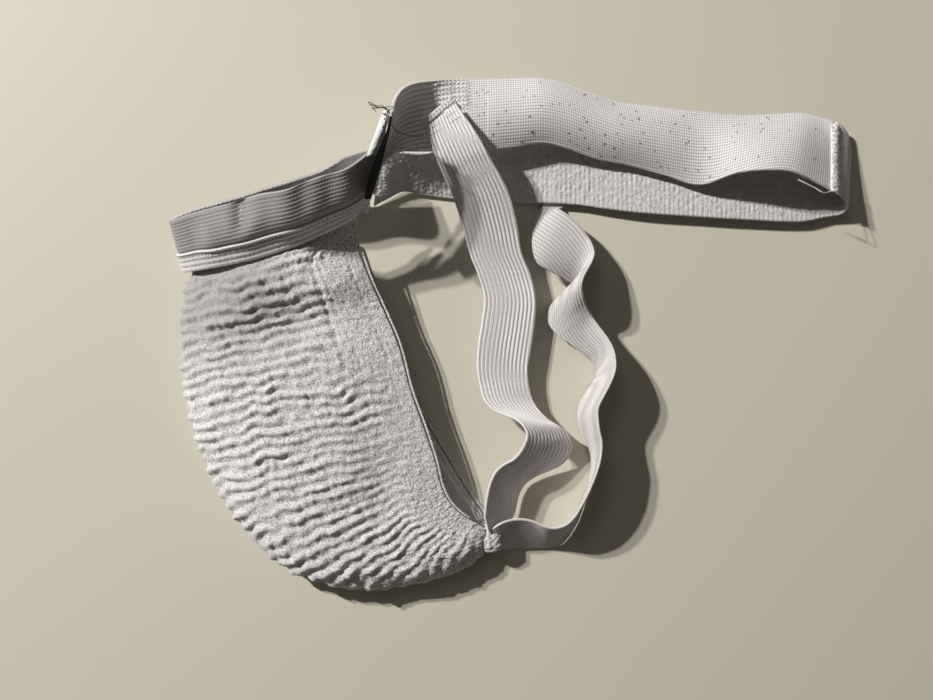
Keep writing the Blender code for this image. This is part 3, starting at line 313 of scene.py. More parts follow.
def unit(vectors):
    return vectors / (np.linalg.norm(vectors, axis=-1, keepdims=True) + 1e-12)


def catmull_rom(points, knots, at):
    """Catmull-Rom curve through points (n, ...) with the given knots, at every parameter."""
    points = np.asarray(points, float)
    flat = (-1,) + (1,) * (points.ndim - 1)
    i = np.clip(np.searchsorted(knots, at, side="right") - 1, 0, len(knots) - 2)
    gaps = (knots[1:] - knots[:-1]).reshape(flat)
    slopes = np.empty_like(points)
    slopes[0] = (points[1] - points[0]) / gaps[0]
    slopes[-1] = (points[-1] - points[-2]) / gaps[-1]
    slopes[1:-1] = (points[2:] - points[:-2]) / (gaps[1:] + gaps[:-1])
    part = ((at - knots[i]) / (knots[i + 1] - knots[i])).reshape(flat)
    return (
        (2 * part**3 - 3 * part**2 + 1) * points[i]
        + (part**3 - 2 * part**2 + part) * gaps[i] * slopes[i]
        + (-2 * part**3 + 3 * part**2) * points[i + 1]
        + (part**3 - part**2) * gaps[i] * slopes[i + 1]
    )


def chord_knots(points):
    """Distance along the points, scaled to run from 0 to 1."""
    lengths = np.linalg.norm(np.diff(np.asarray(points, float), axis=0), axis=1)
    knots = np.r_[0.0, np.cumsum(lengths + 1e-9)]
    return knots / knots[-1]


@functools.cache
def lattice(seed):
    return np.random.default_rng(seed).uniform(-1, 1, (256, 256))


def noise(x, y, seed):
    """Smooth value noise, -1 to 1."""
    grid = lattice(seed)
    column, row = np.floor(x).astype(int), np.floor(y).astype(int)
    part_x, part_y = smooth_step(x - column), smooth_step(y - row)

    def blend_row(j):
        return grid[column % 256, j % 256] * (1 - part_x) + grid[(column + 1) % 256, j % 256] * part_x

    return blend_row(row) * (1 - part_y) + blend_row(row + 1) * part_y


def smooth_step(x):
    x = np.clip(x, 0, 1)
    return x * x * (3 - 2 * x)


def rise(value, start, span):
    """0 up to start, then smoothly up to 1 over span."""
    return smooth_step((value - start) / span)


def fall(value, end, span):
    """Smoothly down to 0 over the span before end."""
    return smooth_step((end - value) / span)


def bell(value, centre, width):
    return np.exp(-(((value - centre) / width) ** 2))


def hump(phase):
    """Cosine wave between 0 and 1."""
    return 0.5 + 0.5 * np.cos(phase)


def ripple(distance, period):
    return np.sin(distance * TAU / period)


def unit_axes(rows, columns):
    """Fractions 0 to 1 as a column and a row that broadcast to a grid."""
    return np.linspace(0, 1, rows)[:, None], np.linspace(0, 1, columns)[None, :]


def grid_normals(grid):
    return unit(np.cross(np.gradient(grid, axis=0), np.gradient(grid, axis=1)))


def strip_grid(first_edge, second_edge, rows, columns, bow=None):
    """Grid between two edge lines; bow(along, across) lifts it along its normal in mm."""
    first, second = np.asarray(first_edge, float), np.asarray(second_edge, float)
    knots = chord_knots((first + second) / 2)
    along, across = unit_axes(steps(rows), steps(columns))
    first, second = (catmull_rom(edge, knots, along[:, 0])[:, None] for edge in (first, second))
    grid = first * (1 - across[..., None]) + second * across[..., None]
    if bow is not None:
        grid = grid + grid_normals(grid) * bow(along, across)[..., None]
    return grid


def loft_grid(sections, rows, columns):
    """Smooth grid through a stack of cross-sections."""
    cage = np.asarray(sections, float)
    widths = np.linalg.norm(np.diff(cage, axis=1), axis=2).mean(0)
    across_knots = np.r_[0, np.cumsum(widths)]
    across_knots /= across_knots[-1]
    lofted = catmull_rom(cage, chord_knots(cage.mean(1)), np.linspace(0, 1, steps(rows)))
    turned = lofted.transpose(1, 0, 2)
    return catmull_rom(turned, across_knots, np.linspace(0, 1, steps(columns))).transpose(1, 0, 2)


# ---------------------------------------------------------------- mesh makers
def mesh_object(name, vertices, faces, uv, materials, material_index=None):
    """Smooth mesh from vertices and per-vertex UVs in mm."""
    mesh = bpy.data.meshes.new(name)
    mesh.from_pydata([tuple(v) for v in (np.asarray(vertices) * MM)], [], faces)
    mesh.validate()
    layer = mesh.uv_layers.new(name="UVMap")
    loops = np.empty(len(mesh.loops), int)
    mesh.loops.foreach_get("vertex_index", loops)
    layer.data.foreach_set("uv", (np.asarray(uv)[loops] * UV_PER_MM).ravel())
    for material in materials:
        mesh.materials.append(material)
    if material_index is not None:
        mesh.polygons.foreach_set("material_index", material_index)
    mesh.polygons.foreach_set("use_smooth", [True] * len(mesh.polygons))
    mesh.update()
    thing = bpy.data.objects.new(name, mesh)
    bpy.context.scene.collection.objects.link(thing)
    return thing


def register(thing, slot, *replaced, body=None):
    """Tell the frame which body a piece rides and which CAD nodes it replaces; slot is not used."""
    if body:
        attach(thing, body)
    if replaced:
        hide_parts(*replaced)


class Sheet:
    """Closed cloth sheet round a grid of middle points.

    along and across are fractions of the grid; along_mm and across_mm are distances.
    The outer face is on the side whose normal points up (or down, for up=-1) at up_at.
    """

    def __init__(self, middle, up_at=(0.5, 0.5), up=1):
        self.middle = middle
        self.normal = grid_normals(middle)
        rows, columns = middle.shape[:2]
        i, j = int(up_at[0] * (rows - 1)), int(up_at[1] * (columns - 1))
        self.flipped = self.normal[i, j, 2] * up < 0
        if self.flipped:
            self.normal = -self.normal
        lengths = np.linalg.norm(np.diff(middle, axis=0), axis=2).mean(1)
        widths = np.linalg.norm(np.diff(middle, axis=1), axis=2)
        self.along_mm = np.r_[0, np.cumsum(lengths)][:, None] * np.ones((1, columns))
        self.across_mm = np.c_[np.zeros(rows), np.cumsum(widths, axis=1)]
        self.along, self.across = np.broadcast_arrays(*unit_axes(rows, columns))

    def noise(self, length, width, seed):
        """Value noise with cells of length by width in mm."""
        return noise(self.along_mm / length, self.across_mm / width, seed)

    def build(self, name, outer, inner, materials, edge, outer_index=None, lowest=None):
        """Mesh with outer and inner thickness in mm, rounded off over edge mm at the rim."""
        along, across = self.along_mm, self.across_mm
        from_side = np.minimum(across, across[:, -1:] - across)
        from_rim = np.minimum(from_side, np.minimum(along, along[-1:] - along)) / edge
        rounding = 0.3 + 0.7 * np.sqrt(1 - (1 - np.clip(from_rim, 0, 1)) ** 2)
        outside = self.middle + self.normal * (outer * rounding)[..., None]
        inside = self.middle - self.normal * (inner * rounding)[..., None]
        if lowest is not None:
            for face in (outside, inside):
                face[..., 2] = np.maximum(face[..., 2], lowest)
        self.outside = outside
        vertices = np.concatenate([outside.reshape(-1, 3), inside.reshape(-1, 3)])
        uv = np.tile(np.stack([along, across], -1).reshape(-1, 2), (2, 1))

        ids = np.arange(along.size).reshape(along.shape)
        corners = (ids[:-1, :-1], ids[1:, :-1], ids[1:, 1:], ids[:-1, 1:])
        top = np.stack([c.ravel() for c in corners], 1)
        bottom = top[:, [0, 3, 2, 1]] + along.size
        ring = np.concatenate([ids[:, 0], ids[-1, 1:], ids[-2::-1, -1], ids[0, -2:0:-1]])
        following = np.roll(ring, -1)
        rim = np.stack([ring, ring + along.size, following + along.size, following], 1)
        faces = np.concatenate([top, bottom, rim])
        if self.flipped:
            faces = faces[:, ::-1]

        top_index = np.zeros(len(top), int)
        if outer_index is not None:
            top_index = outer_index[:-1, :-1].ravel()
        bottom_index = np.full(len(bottom), min(1, len(materials) - 1))
        index = np.concatenate([top_index, bottom_index, np.zeros(len(rim), int)])
        self.thing = mesh_object(name, vertices, faces.tolist(), uv, materials, index.tolist())
        return self.thing

    def set_bend_weights(self, row_weights):
        weights = np.repeat(row_weights, self.middle.shape[1]).astype(np.float32)
        attribute = self.thing.data.attributes["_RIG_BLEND"]
        attribute.data.foreach_set("value", np.tile(weights, 2))

    def at(self, along, across, lift=0.0):
        """Points lift mm above the outer face at fractions of the grid, and their normals."""
        rows, columns = self.middle.shape[:2]
        along, across = np.broadcast_arrays(along, across)
        # 1.001 keeps the last point inside the last cell
        x = np.clip(along, 0, 1) * (rows - 1.001)
        y = np.clip(across, 0, 1) * (columns - 1.001)
        i, j = x.astype(int), y.astype(int)
        part_x, part_y = (x - i)[:, None], (y - j)[:, None]

        def sample(grid):
            before = grid[i, j] * (1 - part_x) + grid[i + 1, j] * part_x
            after = grid[i, j + 1] * (1 - part_x) + grid[i + 1, j + 1] * part_x
            return before * (1 - part_y) + after * part_y

        normals = sample(self.normal)
        return sample(self.outside) + normals * lift, normals


def tube_faces(first, rings, sides, mirrored=False):
    """Quads between consecutive rings of vertices, then the two end caps."""
    faces = []
    for ring in range(first, first + (rings - 1) * sides, sides):
        for j in range(sides):
            k = (j + 1) % sides
            quad = (ring + j, ring + k, ring + sides + k, ring + sides + j)
            faces.append(quad[:1] + quad[:0:-1] if mirrored else quad)
    start = tuple(range(first, first + sides))
    end = tuple(x + (rings - 1) * sides for x in start)
    return faces + ([start, end[::-1]] if mirrored else [start[::-1], end])


def tube(name, line, radius, material, rings, sides, squash=1.0, wobble=None):
    """Tube along a line; wobble(part) scales the radius and the ends are tapered."""
    points = np.asarray(line, float)
    rings = steps(rings)
    part = np.linspace(0, 1, rings)
    centre = catmull_rom(points, chord_knots(points), part)
    direction = unit(np.gradient(centre, axis=0))
    sideways = unit(np.cross(direction, (0, 0, 1)))
    upward = np.cross(sideways, direction)
    radii = radius * (wobble(part) if wobble else np.ones(rings))
    # two rings of taper at each end
    radii = radii * np.sqrt(np.clip(np.minimum(part, 1 - part) * rings / 2 + 0.15, 0, 1))
    angle = np.linspace(0, TAU, sides, endpoint=False)
    cosine, sine = np.cos(angle)[None, :, None], np.sin(angle)[None, :, None]
    spokes = sideways[:, None] * cosine + upward[:, None] * sine * squash
    vertices = (centre[:, None] + spokes * radii[:, None, None]).reshape(-1, 3)
    length = np.linalg.norm(np.diff(points, axis=0), axis=1).sum()
    uv = np.stack([np.repeat(part * length, sides), np.tile(angle, rings) * radius], 1)
    return mesh_object(name, vertices, tube_faces(0, rings, sides), uv, [material])


# Rings of one stitch: place along its length, width and height in radii.
STITCH_PROFILE = (
    (-0.5, 0.25, -0.3), (-0.38, 0.8, 0.05), (0.0, 1.0, 0.3), (0.38, 0.8, 0.05), (0.5, 0.25, -0.3),
)
STITCH_SIDES = 6


def stitches(name, runs, material, radius, length, gap):
    """One grain of thread for each stitch along runs of (points, normals)."""
    vertices, faces, uv = [], [], []
    rng = np.random.default_rng(11)
    angles = [TAU * j / STITCH_SIDES for j in range(STITCH_SIDES)]
    for points, normals in runs:
        travelled = np.r_[0, np.cumsum(np.linalg.norm(np.diff(points, axis=0), axis=1))]

        def value_at(distance, values):
            return np.array([np.interp(distance, travelled, values[:, i]) for i in range(3)])

        x = 0.0
        while x + length < travelled[-1]:
            start, end = value_at(x, points), value_at(x + length, points)
            normal = value_at(x + length / 2, normals)
            # two draws for each stitch, of which the first varies the spacing
            x += (length + gap) * (1 + 0.06 * rng.uniform(-1, 1, 2)[0])
            size = np.linalg.norm(end - start)
            direction = unit(end - start)
            sideways = unit(np.cross(direction, normal))
            faces += tube_faces(len(vertices), len(STITCH_PROFILE), STITCH_SIDES, mirrored=True)
            for place, width, height in STITCH_PROFILE:
                centre = (start + end) / 2 + direction * place * size + normal * height * radius
                for angle in angles:
                    spoke = sideways * math.cos(angle) + normal * math.sin(angle)
                    vertices.append(centre + spoke * radius * width)
                    uv.append((place * size, angle))
    return mesh_object(name, vertices, faces, uv, [material])


def zigzag_run(sheet, start, end, points, swing, turns, lift=0.05):
    """Zigzag between two (along, across) places, swinging by fractions of the sheet."""
    part = np.linspace(0, 1, points)
    zigzag = 4 * np.abs((part * turns) % 1 - 0.5) - 1
    along, across = (start[i] + (end[i] - start[i]) * part + swing[i] * zigzag for i in (0, 1))
    return sheet.at(along, across, lift)


def hairs(name, sheet, places, seed, length, radius, lift, material):
    """Short bent fibres scattered on a sheet."""
    rng = np.random.default_rng(seed)
    rings, sides = 5, 4
    vertices, faces, uv = [], [], []
    for place in places:
        (root,), (normal,) = sheet.at([place[0]], [place[1]])
        heading = rng.uniform(0, TAU)
        direction = unit(np.cross(normal, [math.cos(heading), math.sin(heading), 0.2]))
        sideways = np.cross(normal, direction)
        size = length * rng.uniform(0.5, 1.3)
        bend = rng.uniform(-1, 1) * 2.4
        faces += tube_faces(len(vertices), rings, sides)
        for i, part in enumerate(np.linspace(-0.5, 0.5, rings)):
            height = lift + radius + rng.uniform(0, 0.12)
            bow = sideways * bend * size * 1.2 * part**2
            centre = root + direction * size * part + bow + normal * height
            width = radius * (0.5 if i in (0, rings - 1) else 1.0)
            for j in range(sides):
                angle = TAU / sides * j
                spoke = sideways * math.cos(angle) + normal * math.sin(angle)
                vertices.append(centre + spoke * width)
                uv.append((i * 0.3, j * 0.2))
    return mesh_object(name, vertices, faces, uv, [material])


# ---------------------------------------------------------------- shader helper
def shade(colour, factor):
    return tuple(x * factor for x in colour)


class Shader:
    """A material whose node sockets are combined by short calls. Sizes are in mm."""

    def __init__(self, name):
        self.material = bpy.data.materials.new(name)
        self.material.use_nodes = True
        self.tree = self.material.node_tree
        self.surface = self.tree.nodes["Principled BSDF"]

    @functools.cached_property
    def uv_axes(self):
        split = self.tree.nodes.new("ShaderNodeSeparateXYZ")
        self.feed(split.inputs[0], self.tree.nodes.new("ShaderNodeUVMap").outputs[0])
        return split.outputs

    @property
    def along(self):
        return self.uv_axes[0]

    @property
    def across(self):
        return self.uv_axes[1]

    @functools.cached_property
    def place(self):
        return self.tree.nodes.new("ShaderNodeTexCoord").outputs["Object"]

    def feed(self, socket, value):
        """Link a socket, or set a colour or a number."""
        if isinstance(value, bpy.types.NodeSocket):
            self.tree.links.new(value, socket)
        else:
            socket.default_value = (*value, 1) if isinstance(value, tuple) else value

    def math(self, operation, *terms):
        node = self.tree.nodes.new("ShaderNodeMath")
        node.operation = operation
        for socket, term in zip(node.inputs, terms):
            self.feed(socket, term)
        return node.outputs[0]

    def times(self, first, second):
        return self.math("MULTIPLY", first, second)

    def sine(self, source, period, phase=0.0):
        turned = self.math("MULTIPLY_ADD", source, MM_PER_UV * TAU / period, phase)
        return self.math("SINE", turned)

    def wave(self, source, period, phase=0.0):
        """Sine between 0 and 1."""
        return self.math("MULTIPLY_ADD", self.sine(source, period, phase), 0.5, 0.5)

    def noise(self, size, detail=2.0, rough=0.5):
        node = self.tree.nodes.new("ShaderNodeTexNoise")
        node.inputs["Scale"].default_value = 1 / MM / size
        node.inputs["Detail"].default_value = detail
        node.inputs["Roughness"].default_value = rough
        self.feed(node.inputs["Vector"], self.place)
        return node.outputs[0]

    def voronoi(self, size):
        node = self.tree.nodes.new("ShaderNodeTexVoronoi")
        node.inputs["Scale"].default_value = 1 / MM / size
        self.feed(node.inputs["Vector"], self.place)
        return node.outputs["Distance"]

    def ramp(self, source, start, end, falling=False):
        """Black to white between start and end, or white to black when falling."""
        node = self.tree.nodes.new("ShaderNodeValToRGB")
        levels = (1, 0) if falling else (0, 1)
        for element, position, level in zip(node.color_ramp.elements, (start, end), levels):
            element.position = position
            element.color = (level, level, level, 1)
        self.feed(node.inputs[0], source)
        return node.outputs[0]

    def mix(self, factor, first, second):
        node = self.tree.nodes.new("ShaderNodeMix")
        node.data_type = "RGBA"
        # 0, 6 and 7 are the factor and the two colours
        for i, value in ((0, factor), (6, first), (7, second)):
            self.feed(node.inputs[i], value)
        return node.outputs[2]

    def blotch(self, colour, tint, amount, size, detail=3):
        """Uneven tint in large soft patches."""
        return self.mix(self.times(self.noise(size, detail), amount), colour, tint)

    def weighted(self, *parts):
        """Sum of (source, weight) pairs."""
        scaled = [self.times(source, weight) for source, weight in parts]
        return functools.reduce(lambda total, part: self.math("ADD", part, total), scaled[::-1])

    def roughness(self, low=0.78, spread=0.18, size=0.7, detail=2):
        return self.math("MULTIPLY_ADD", self.noise(size, detail), spread, low)

    def finish(self, colour, height, depth, rough, sheen, specular):
        """Connect the surface; depth is the bump distance."""
        for socket, value in (
            ("Base Color", colour), ("Roughness", rough), ("Specular IOR Level", specular),
            ("Sheen Weight", sheen), ("Sheen Roughness", 0.6),
        ):
            self.feed(self.surface.inputs[socket], value)
        bump = self.tree.nodes.new("ShaderNodeBump")
        bump.inputs["Strength"].default_value = 1.0
        bump.inputs["Distance"].default_value = depth * MM
        self.feed(bump.inputs["Height"], height)
        self.feed(self.surface.inputs["Normal"], bump.outputs[0])
        return self.material


# ---------------------------------------------------------------- materials
def terry_material(name, base, dark, loop, painted_shade=0.0):
    shader = Shader(name)
    cells = shader.voronoi(loop)
    fibre = shader.noise(size=0.28, detail=3, rough=0.6)
    height = shader.weighted((shader.math("SUBTRACT", 1.0, cells), 0.9), (fibre, 0.7))
    # painted shade: the dark colour fills the hollows between the terry loops
    colour = shader.mix(shader.ramp(cells, start=0.25, end=0.85), base, dark)
    colour = shader.blotch(colour, shade(dark, 0.8), amount=0.16, size=14)
    if painted_shade:
        # painted shade: greyer below the waistband, fading out from 36 to 78 mm along and in from 24 to 50
        # mm across
        def clamped(source, scale, offset):
            line = shader.math("MULTIPLY_ADD", source, scale, offset)
            return shader.math("MINIMUM", shader.math("MAXIMUM", line, 0.0), 1.0)

        fade_along = clamped(shader.along, -MM_PER_UV / 42, 78 / 42)
        fade_across = clamped(shader.across, MM_PER_UV / 26, -24 / 26)
        patch = shader.times(shader.times(fade_along, fade_across), painted_shade)
        colour = shader.mix(patch, colour, shade(dark, 0.75))
    rough = shader.roughness(low=0.86, spread=0.14)
    return shader.finish(colour, height, depth=0.34, rough=rough, sheen=0.35, specular=0.15)


def ribbed_material(name, base, groove, rib_pitch=1.82, thread_pitch=0.62, groove_width=0.42):
    """Lengthwise ribs with fine cross threads."""
    shader = Shader(name)
    rib = shader.wave(shader.across, rib_pitch, phase=math.pi / 2)
    thread = shader.wave(shader.along, thread_pitch)
    alternate = shader.wave(shader.along, thread_pitch * 2, phase=1.0)
    fibre = shader.noise(size=0.3, detail=3, rough=0.6)
    height = shader.weighted((thread, 0.55), (alternate, 0.2), (fibre, 0.5))
    # painted shade: the groove colour darkens the grooves between the ribs
    colour = shader.mix(shader.ramp(rib, 0.0, groove_width, falling=True), base, groove)
    colour = shader.blotch(colour, shade(base, 0.82), amount=0.12, size=16, detail=2)
    rough = shader.roughness()
    return shader.finish(colour, height, depth=0.09, rough=rough, sheen=0.2, specular=0.25)


def zigzag_material(name, base, groove, pitch, zigzag):
    """Lengthwise ribs of V-shaped knit stitches."""
    shader = Shader(name)
    triangle = shader.math("PINGPONG", shader.times(shader.along, MM_PER_UV * 2 / zigzag), 1.0)
    shifted = shader.weighted((shader.across, MM_PER_UV), (triangle, 0.55))
    turned = shader.math("SINE", shader.times(shifted, TAU / pitch))
    rib = shader.math("MULTIPLY_ADD", turned, 0.5, 0.5)
    fibre = shader.noise(size=0.3, detail=3, rough=0.6)
    height = shader.weighted((rib, 1.0), (fibre, 0.35))
    # painted shade: the groove colour darkens the low parts of the ribs
    colour = shader.mix(shader.ramp(rib, 0.1, 0.6, falling=True), base, groove)
    rough = shader.roughness()
    return shader.finish(colour, height, depth=0.28, rough=rough, sheen=0.2, specular=0.25)


def grid_material(name, base, dark, pitch_along=1.15, pitch_across=1.45, specks=True):
    shader = Shader(name)
    along = shader.wave(shader.along, pitch_along)
    across = shader.wave(shader.across, pitch_across)
    knot = shader.times(along, across)
    fibre = shader.noise(size=0.32, detail=3, rough=0.6)
    height = shader.weighted((knot, 1.0), (fibre, 0.45))
    # painted shade: the dark colour fills the hollows between the knit knots
    colour = shader.mix(shader.ramp(knot, 0.0, 0.42, falling=True), base, dark)
    colour = shader.blotch(colour, shade(base, 0.8), amount=0.14, size=11)
    if specks:
        speck = shader.ramp(shader.noise(size=1.5, detail=1, rough=0.4), 0.735, 0.765)
        colour = shader.mix(shader.times(speck, 0.5), colour, (0.24, 0.24, 0.27))
    rough = shader.roughness()
    return shader.finish(colour, height, depth=0.13, rough=rough, sheen=0.2, specular=0.25)


def plush_material(name, base, dark):
    shader = Shader(name)
    column = shader.wave(shader.along, period=2.3)
    cells = shader.voronoi(0.75)
    fibre = shader.noise(size=0.3, detail=3, rough=0.65)
    blot = shader.ramp(shader.noise(size=2.6, detail=3, rough=0.6), 0.42, 0.72)
    pile = shader.math("SUBTRACT", 1.0, cells)
    height = shader.weighted((pile, 0.8), (fibre, 0.7), (column, 0.5))
    colour = shader.mix(shader.times(blot, 0.55), base, dark)
    # painted shade: darker towards the edges of the pile cells
    colour = shader.mix(shader.times(cells, 0.3), colour, dark)
    rough = shader.roughness(low=0.88, spread=0.12)
    return shader.finish(colour, height, depth=0.3, rough=rough, sheen=0.4, specular=0.12)


def plain_cloth(name, base, fibre=0.35, sheen=0.2, depth=0.1, weave=(0.8, 0.6)):
    """weave: thread periods along and across."""
    shader = Shader(name)
    threads = shader.times(
        shader.sine(shader.along, weave[0]), shader.sine(shader.across, weave[1]))
    height = shader.math("ADD", shader.times(threads, 0.5), shader.noise(fibre, 3, 0.6))
    colour = shader.blotch(base, shade(base, 0.78), amount=0.3, size=5)
    return shader.finish(colour, height, depth, shader.roughness(), sheen, specular=0.2)


def thread_material(name, base, rough=0.6):
    shader = Shader(name)
    slant = shader.math("ADD", shader.along, shader.times(shader.across, 0.6))
    twist = shader.sine(slant, period=0.5)
    dark_part = shader.math("MULTIPLY_ADD", twist, 0.15, 0.15)
    colour = shader.mix(dark_part, base, shade(base, 0.7))
    return shader.finish(colour, twist, depth=0.05, rough=rough, sheen=0.1, specular=0.3)


def plastic_material():
    shader = Shader("cup_plastic")
    height = shader.noise(size=0.9, detail=3)
    colour = shader.blotch((0.8, 0.81, 0.82), (0.7, 0.71, 0.72), amount=0.25, size=20, detail=2)
    rough = shader.roughness(low=0.32, spread=0.2, size=6, detail=3)
    return shader.finish(colour, height, depth=0.02, rough=rough, sheen=0.0, specular=0.5)


def rubber_material():
    shader = Shader("rim_rubber")
    height = shader.noise(size=0.5, detail=3, rough=0.6)
    colour = shader.blotch((0.6, 0.6, 0.6), (0.45, 0.45, 0.46), amount=0.3, size=6, detail=2)
    return shader.finish(colour, height, depth=0.04, rough=0.75, sheen=0.0, specular=0.4)


def floor_material():
    shader = Shader("floor_paint")
    colour = shader.blotch((0.60, 0.572, 0.478), (0.50, 0.47, 0.38), amount=0.06, size=60)
    height = shader.noise(size=0.8)
    return shader.finish(colour, height, depth=0.01, rough=0.55, sheen=0.0, specular=0.3)


# the pouch knit is greyed below the waistband as painted shade
TERRY = terry_material(
    "terry_knit", base=(0.90, 0.89, 0.882), dark=(0.38, 0.37, 0.37), loop=0.8, painted_shade=0.75)
TERRY_INSIDE = terry_material(
    "terry_knit_inside", base=(0.80, 0.79, 0.775), dark=(0.56, 0.55, 0.54), loop=1.0)
STRAP = ribbed_material("strap_ribbed", base=(0.78, 0.755, 0.755), groove=(0.47, 0.44, 0.44))
BAND_PITCH = dict(rib_pitch=1.12, thread_pitch=0.8, groove_width=0.3)
# painted shade: the ribbed upper part of the front band gets a dark grey base, much darker than the white
# stitched edge
BAND_PAINTED_SHADE = ribbed_material(
    "band_ribbed_painted_shade", base=(0.37, 0.353, 0.354), groove=(0.27, 0.257, 0.258), **BAND_PITCH)
BAND_EDGE = ribbed_material(
    "band_stitched_edge", base=(0.76, 0.735, 0.735), groove=(0.60, 0.58, 0.58), **BAND_PITCH)
# painted shade: dark grey grains stand in for the shade inside the needle holes
HOLE_SHADE = thread_material("stitch_hole_shade", (0.20, 0.19, 0.188), rough=0.95)
HIP = zigzag_material(
    "band_hip_knit", base=(0.80, 0.78, 0.78), groove=(0.50, 0.48, 0.48), pitch=2.3, zigzag=1.9)
GRID = grid_material("band_back_grid", base=(0.88, 0.862, 0.868), dark=(0.44, 0.43, 0.44))
PLUSH = plush_material("band_plush", base=(0.66, 0.645, 0.643), dark=(0.40, 0.39, 0.395))
LINING = grid_material(
    "pocket_mesh", base=(0.80, 0.79, 0.78), dark=(0.5, 0.5, 0.5),
    pitch_along=1.6, pitch_across=1.6, specks=False)
HEM = plain_cloth("hem_cloth", (0.89, 0.885, 0.875))
STRAP_HEM = plain_cloth("strap_hem_cloth", (0.72, 0.71, 0.70))
# painted shade: a darker copy of the strap knit for the far strap
STRAP_PAINTED_SHADE = ribbed_material(
    "strap_ribbed_painted_shade", base=(0.64, 0.617, 0.612), groove=(0.38, 0.355, 0.352))
TAPE = plain_cloth(
    "seam_tape", (0.84, 0.87, 0.865), fibre=0.3, sheen=0.15, depth=0.08, weave=(0.6, 0.5))
LABEL = plain_cloth(
    "label_weave", (0.006, 0.006, 0.007), fibre=0.3, sheen=0.0, depth=0.04, weave=(0.45, 0.35))
WHITE_THREAD = thread_material("white_thread", (0.9, 0.895, 0.885))
BLACK_THREAD = thread_material("black_thread", (0.012, 0.012, 0.015))
LINT = thread_material("lint_fibre", (0.16, 0.16, 0.19), rough=0.9)


# ---------------------------------------------------------------- cup, pouch and lining
def paint_cup():
    for node, material in (
        ("cup_shell", plastic_material()), ("cup_rim_cushion", rubber_material()),
    ):
        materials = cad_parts[node].data.materials
        materials.clear()
        materials.append(material)


def pouch_grid():
    grid = loft_grid(POUCH_SECTIONS, 250, 300)
    along, across = unit_axes(*grid.shape[:2])
    # the knit puffs up just below the waistband and hangs slack above the cup's upper edge
    puff = 2.4 * bell(along, 0.115, 0.04) * bell(across, 0.25, 0.14)
    slack = 2.6 * bell(along, 0.225, 0.06) * bell(across, 0.22, 0.12)
    grid[..., 2] += rise(across, 0.04, 0.08) * (puff - slack)
    grid[..., 2] -= 2.2 * bell(along, 0.66, 0.10) * bell(across, 0.13, 0.05)
    return grid


def pouch_relief(sheet):
    """Height in mm of the crosswise knit ribs, their breaks and the loops of the pile."""
    along, across = sheet.along, sheet.across
    start_mm = 12.0
    along_mm, across_mm = sheet.along_mm - start_mm, sheet.across_mm

    # the knit is finer beside the near leg edge
    middle_part = rise(along, 0.33, 0.12)
    near_start = 0.055 - 0.045 * middle_part * fall(along, 0.75, 0.1)
    near_fade = rise(across, near_start, 0.13 - 0.05 * middle_part)
    far_fade = fall(across, 0.97, 0.1)

    # columns across the cloth, each with its ribs shifted
    column = across_mm / 13.5
    in_column = column - np.floor(column)
    column_shift = 1.15 * noise(np.floor(column) * 7.13, along_mm / 34, 3)
    column_shift *= smooth_step(1.15 - 2.2 * np.abs(in_column - 0.5))
    warp = 1.2 * sheet.noise(15, 12, 5) + 0.9 * sheet.noise(8, 5.5, 6) + 2.2 * column_shift
    phase = TAU * along_mm / 5.3 + warp
    ridge = hump(phase) ** 0.9
    second_weight = 0.2 * (0.5 + 0.5 * sheet.noise(9, 8, 10))
    second = hump(2 * phase + 1.2 + 2.5 * sheet.noise(8, 7, 9)) * second_weight

    # each rib swells and breaks on its own
    row = np.floor(phase / TAU + 0.5)
    breaks = noise(across_mm / 6.2 + row * 3.7, row * 5.31, 13)
    gain = np.clip(0.78 + 0.62 * breaks + 0.25 * sheet.noise(3.2, 4, 8), 0.08, 1.4)
    knobs = 0.34 * noise(across_mm / 1.9 + row * 9.1, row * 3.3, 14) * ridge
    fine_rows = hump(TAU * along_mm / 2.9 + 2.2 * sheet.noise(5, 4, 12))
    fine = fine_rows * (0.6 + 0.4 * np.sin(TAU * across_mm / 2.6 + 2 * sheet.noise(4, 4, 15)))

    # stretched smooth by the leg edge, flatter towards the tip
    calm = 1 - 0.8 * bell(along, 0.62, 0.17) * bell(across, 0.08, 0.13)
    tail = 1 - 0.55 * rise(along, 0.78, 0.15)
    height = 1.75 * near_fade * far_fade * calm * tail

    loops = 0.24 * sheet.noise(1.1, 1.1, 20) + 0.2 * sheet.noise(0.66, 0.66, 21)
    loops += 0.2 * sheet.noise(2.1, 2.1, 22)
    groove_depth = 0.35 + 0.65 * (sheet.noise(5, 40, 30) * 0.5 + 0.5)
    groove = -0.55 * bell(in_column, 0.5, 0.045) * fall(along, 0.65, 0.5) * groove_depth
    dart = -0.9 * bell(across, 0.115, 0.006) * fall(along, 0.42, 0.2)
    swell = 0.6 * sheet.noise(28, 24, 40)
    relief = height * (ridge * gain + second + knobs) + 0.36 * fine * (1 - near_fade)
    relief = relief + loops + groove + dart + swell - 0.5
    # flat where the waistband laps over it
    lap = rise(along, 0.04, 0.05)
    return relief * lap - 0.2 * (1 - lap)


def make_pouch():
    sheet = Sheet(pouch_grid(), up_at=(0.5, 0.15))
    thing = sheet.build(
        "pouch_front_cloth", outer=0.95 + pouch_relief(sheet),
        inner=0.75 + 0.15 * sheet.noise(1.2, 1.2, 25),
        materials=[TERRY, TERRY_INSIDE], edge=1.1, lowest=LOWEST)
    register(thing, "terry_knit", "pouch_front_panel", body="supporter")


def make_lining():
    sheet = Sheet(loft_grid(LINING_SECTIONS, 90, 110), up_at=(0.5, 0.8))
    thing = sheet.build("cup_pocket_cloth", 0.38, 0.38, [LINING], edge=0.5)
    register(thing, "pocket_mesh", "cup_pocket_panel", body="supporter")


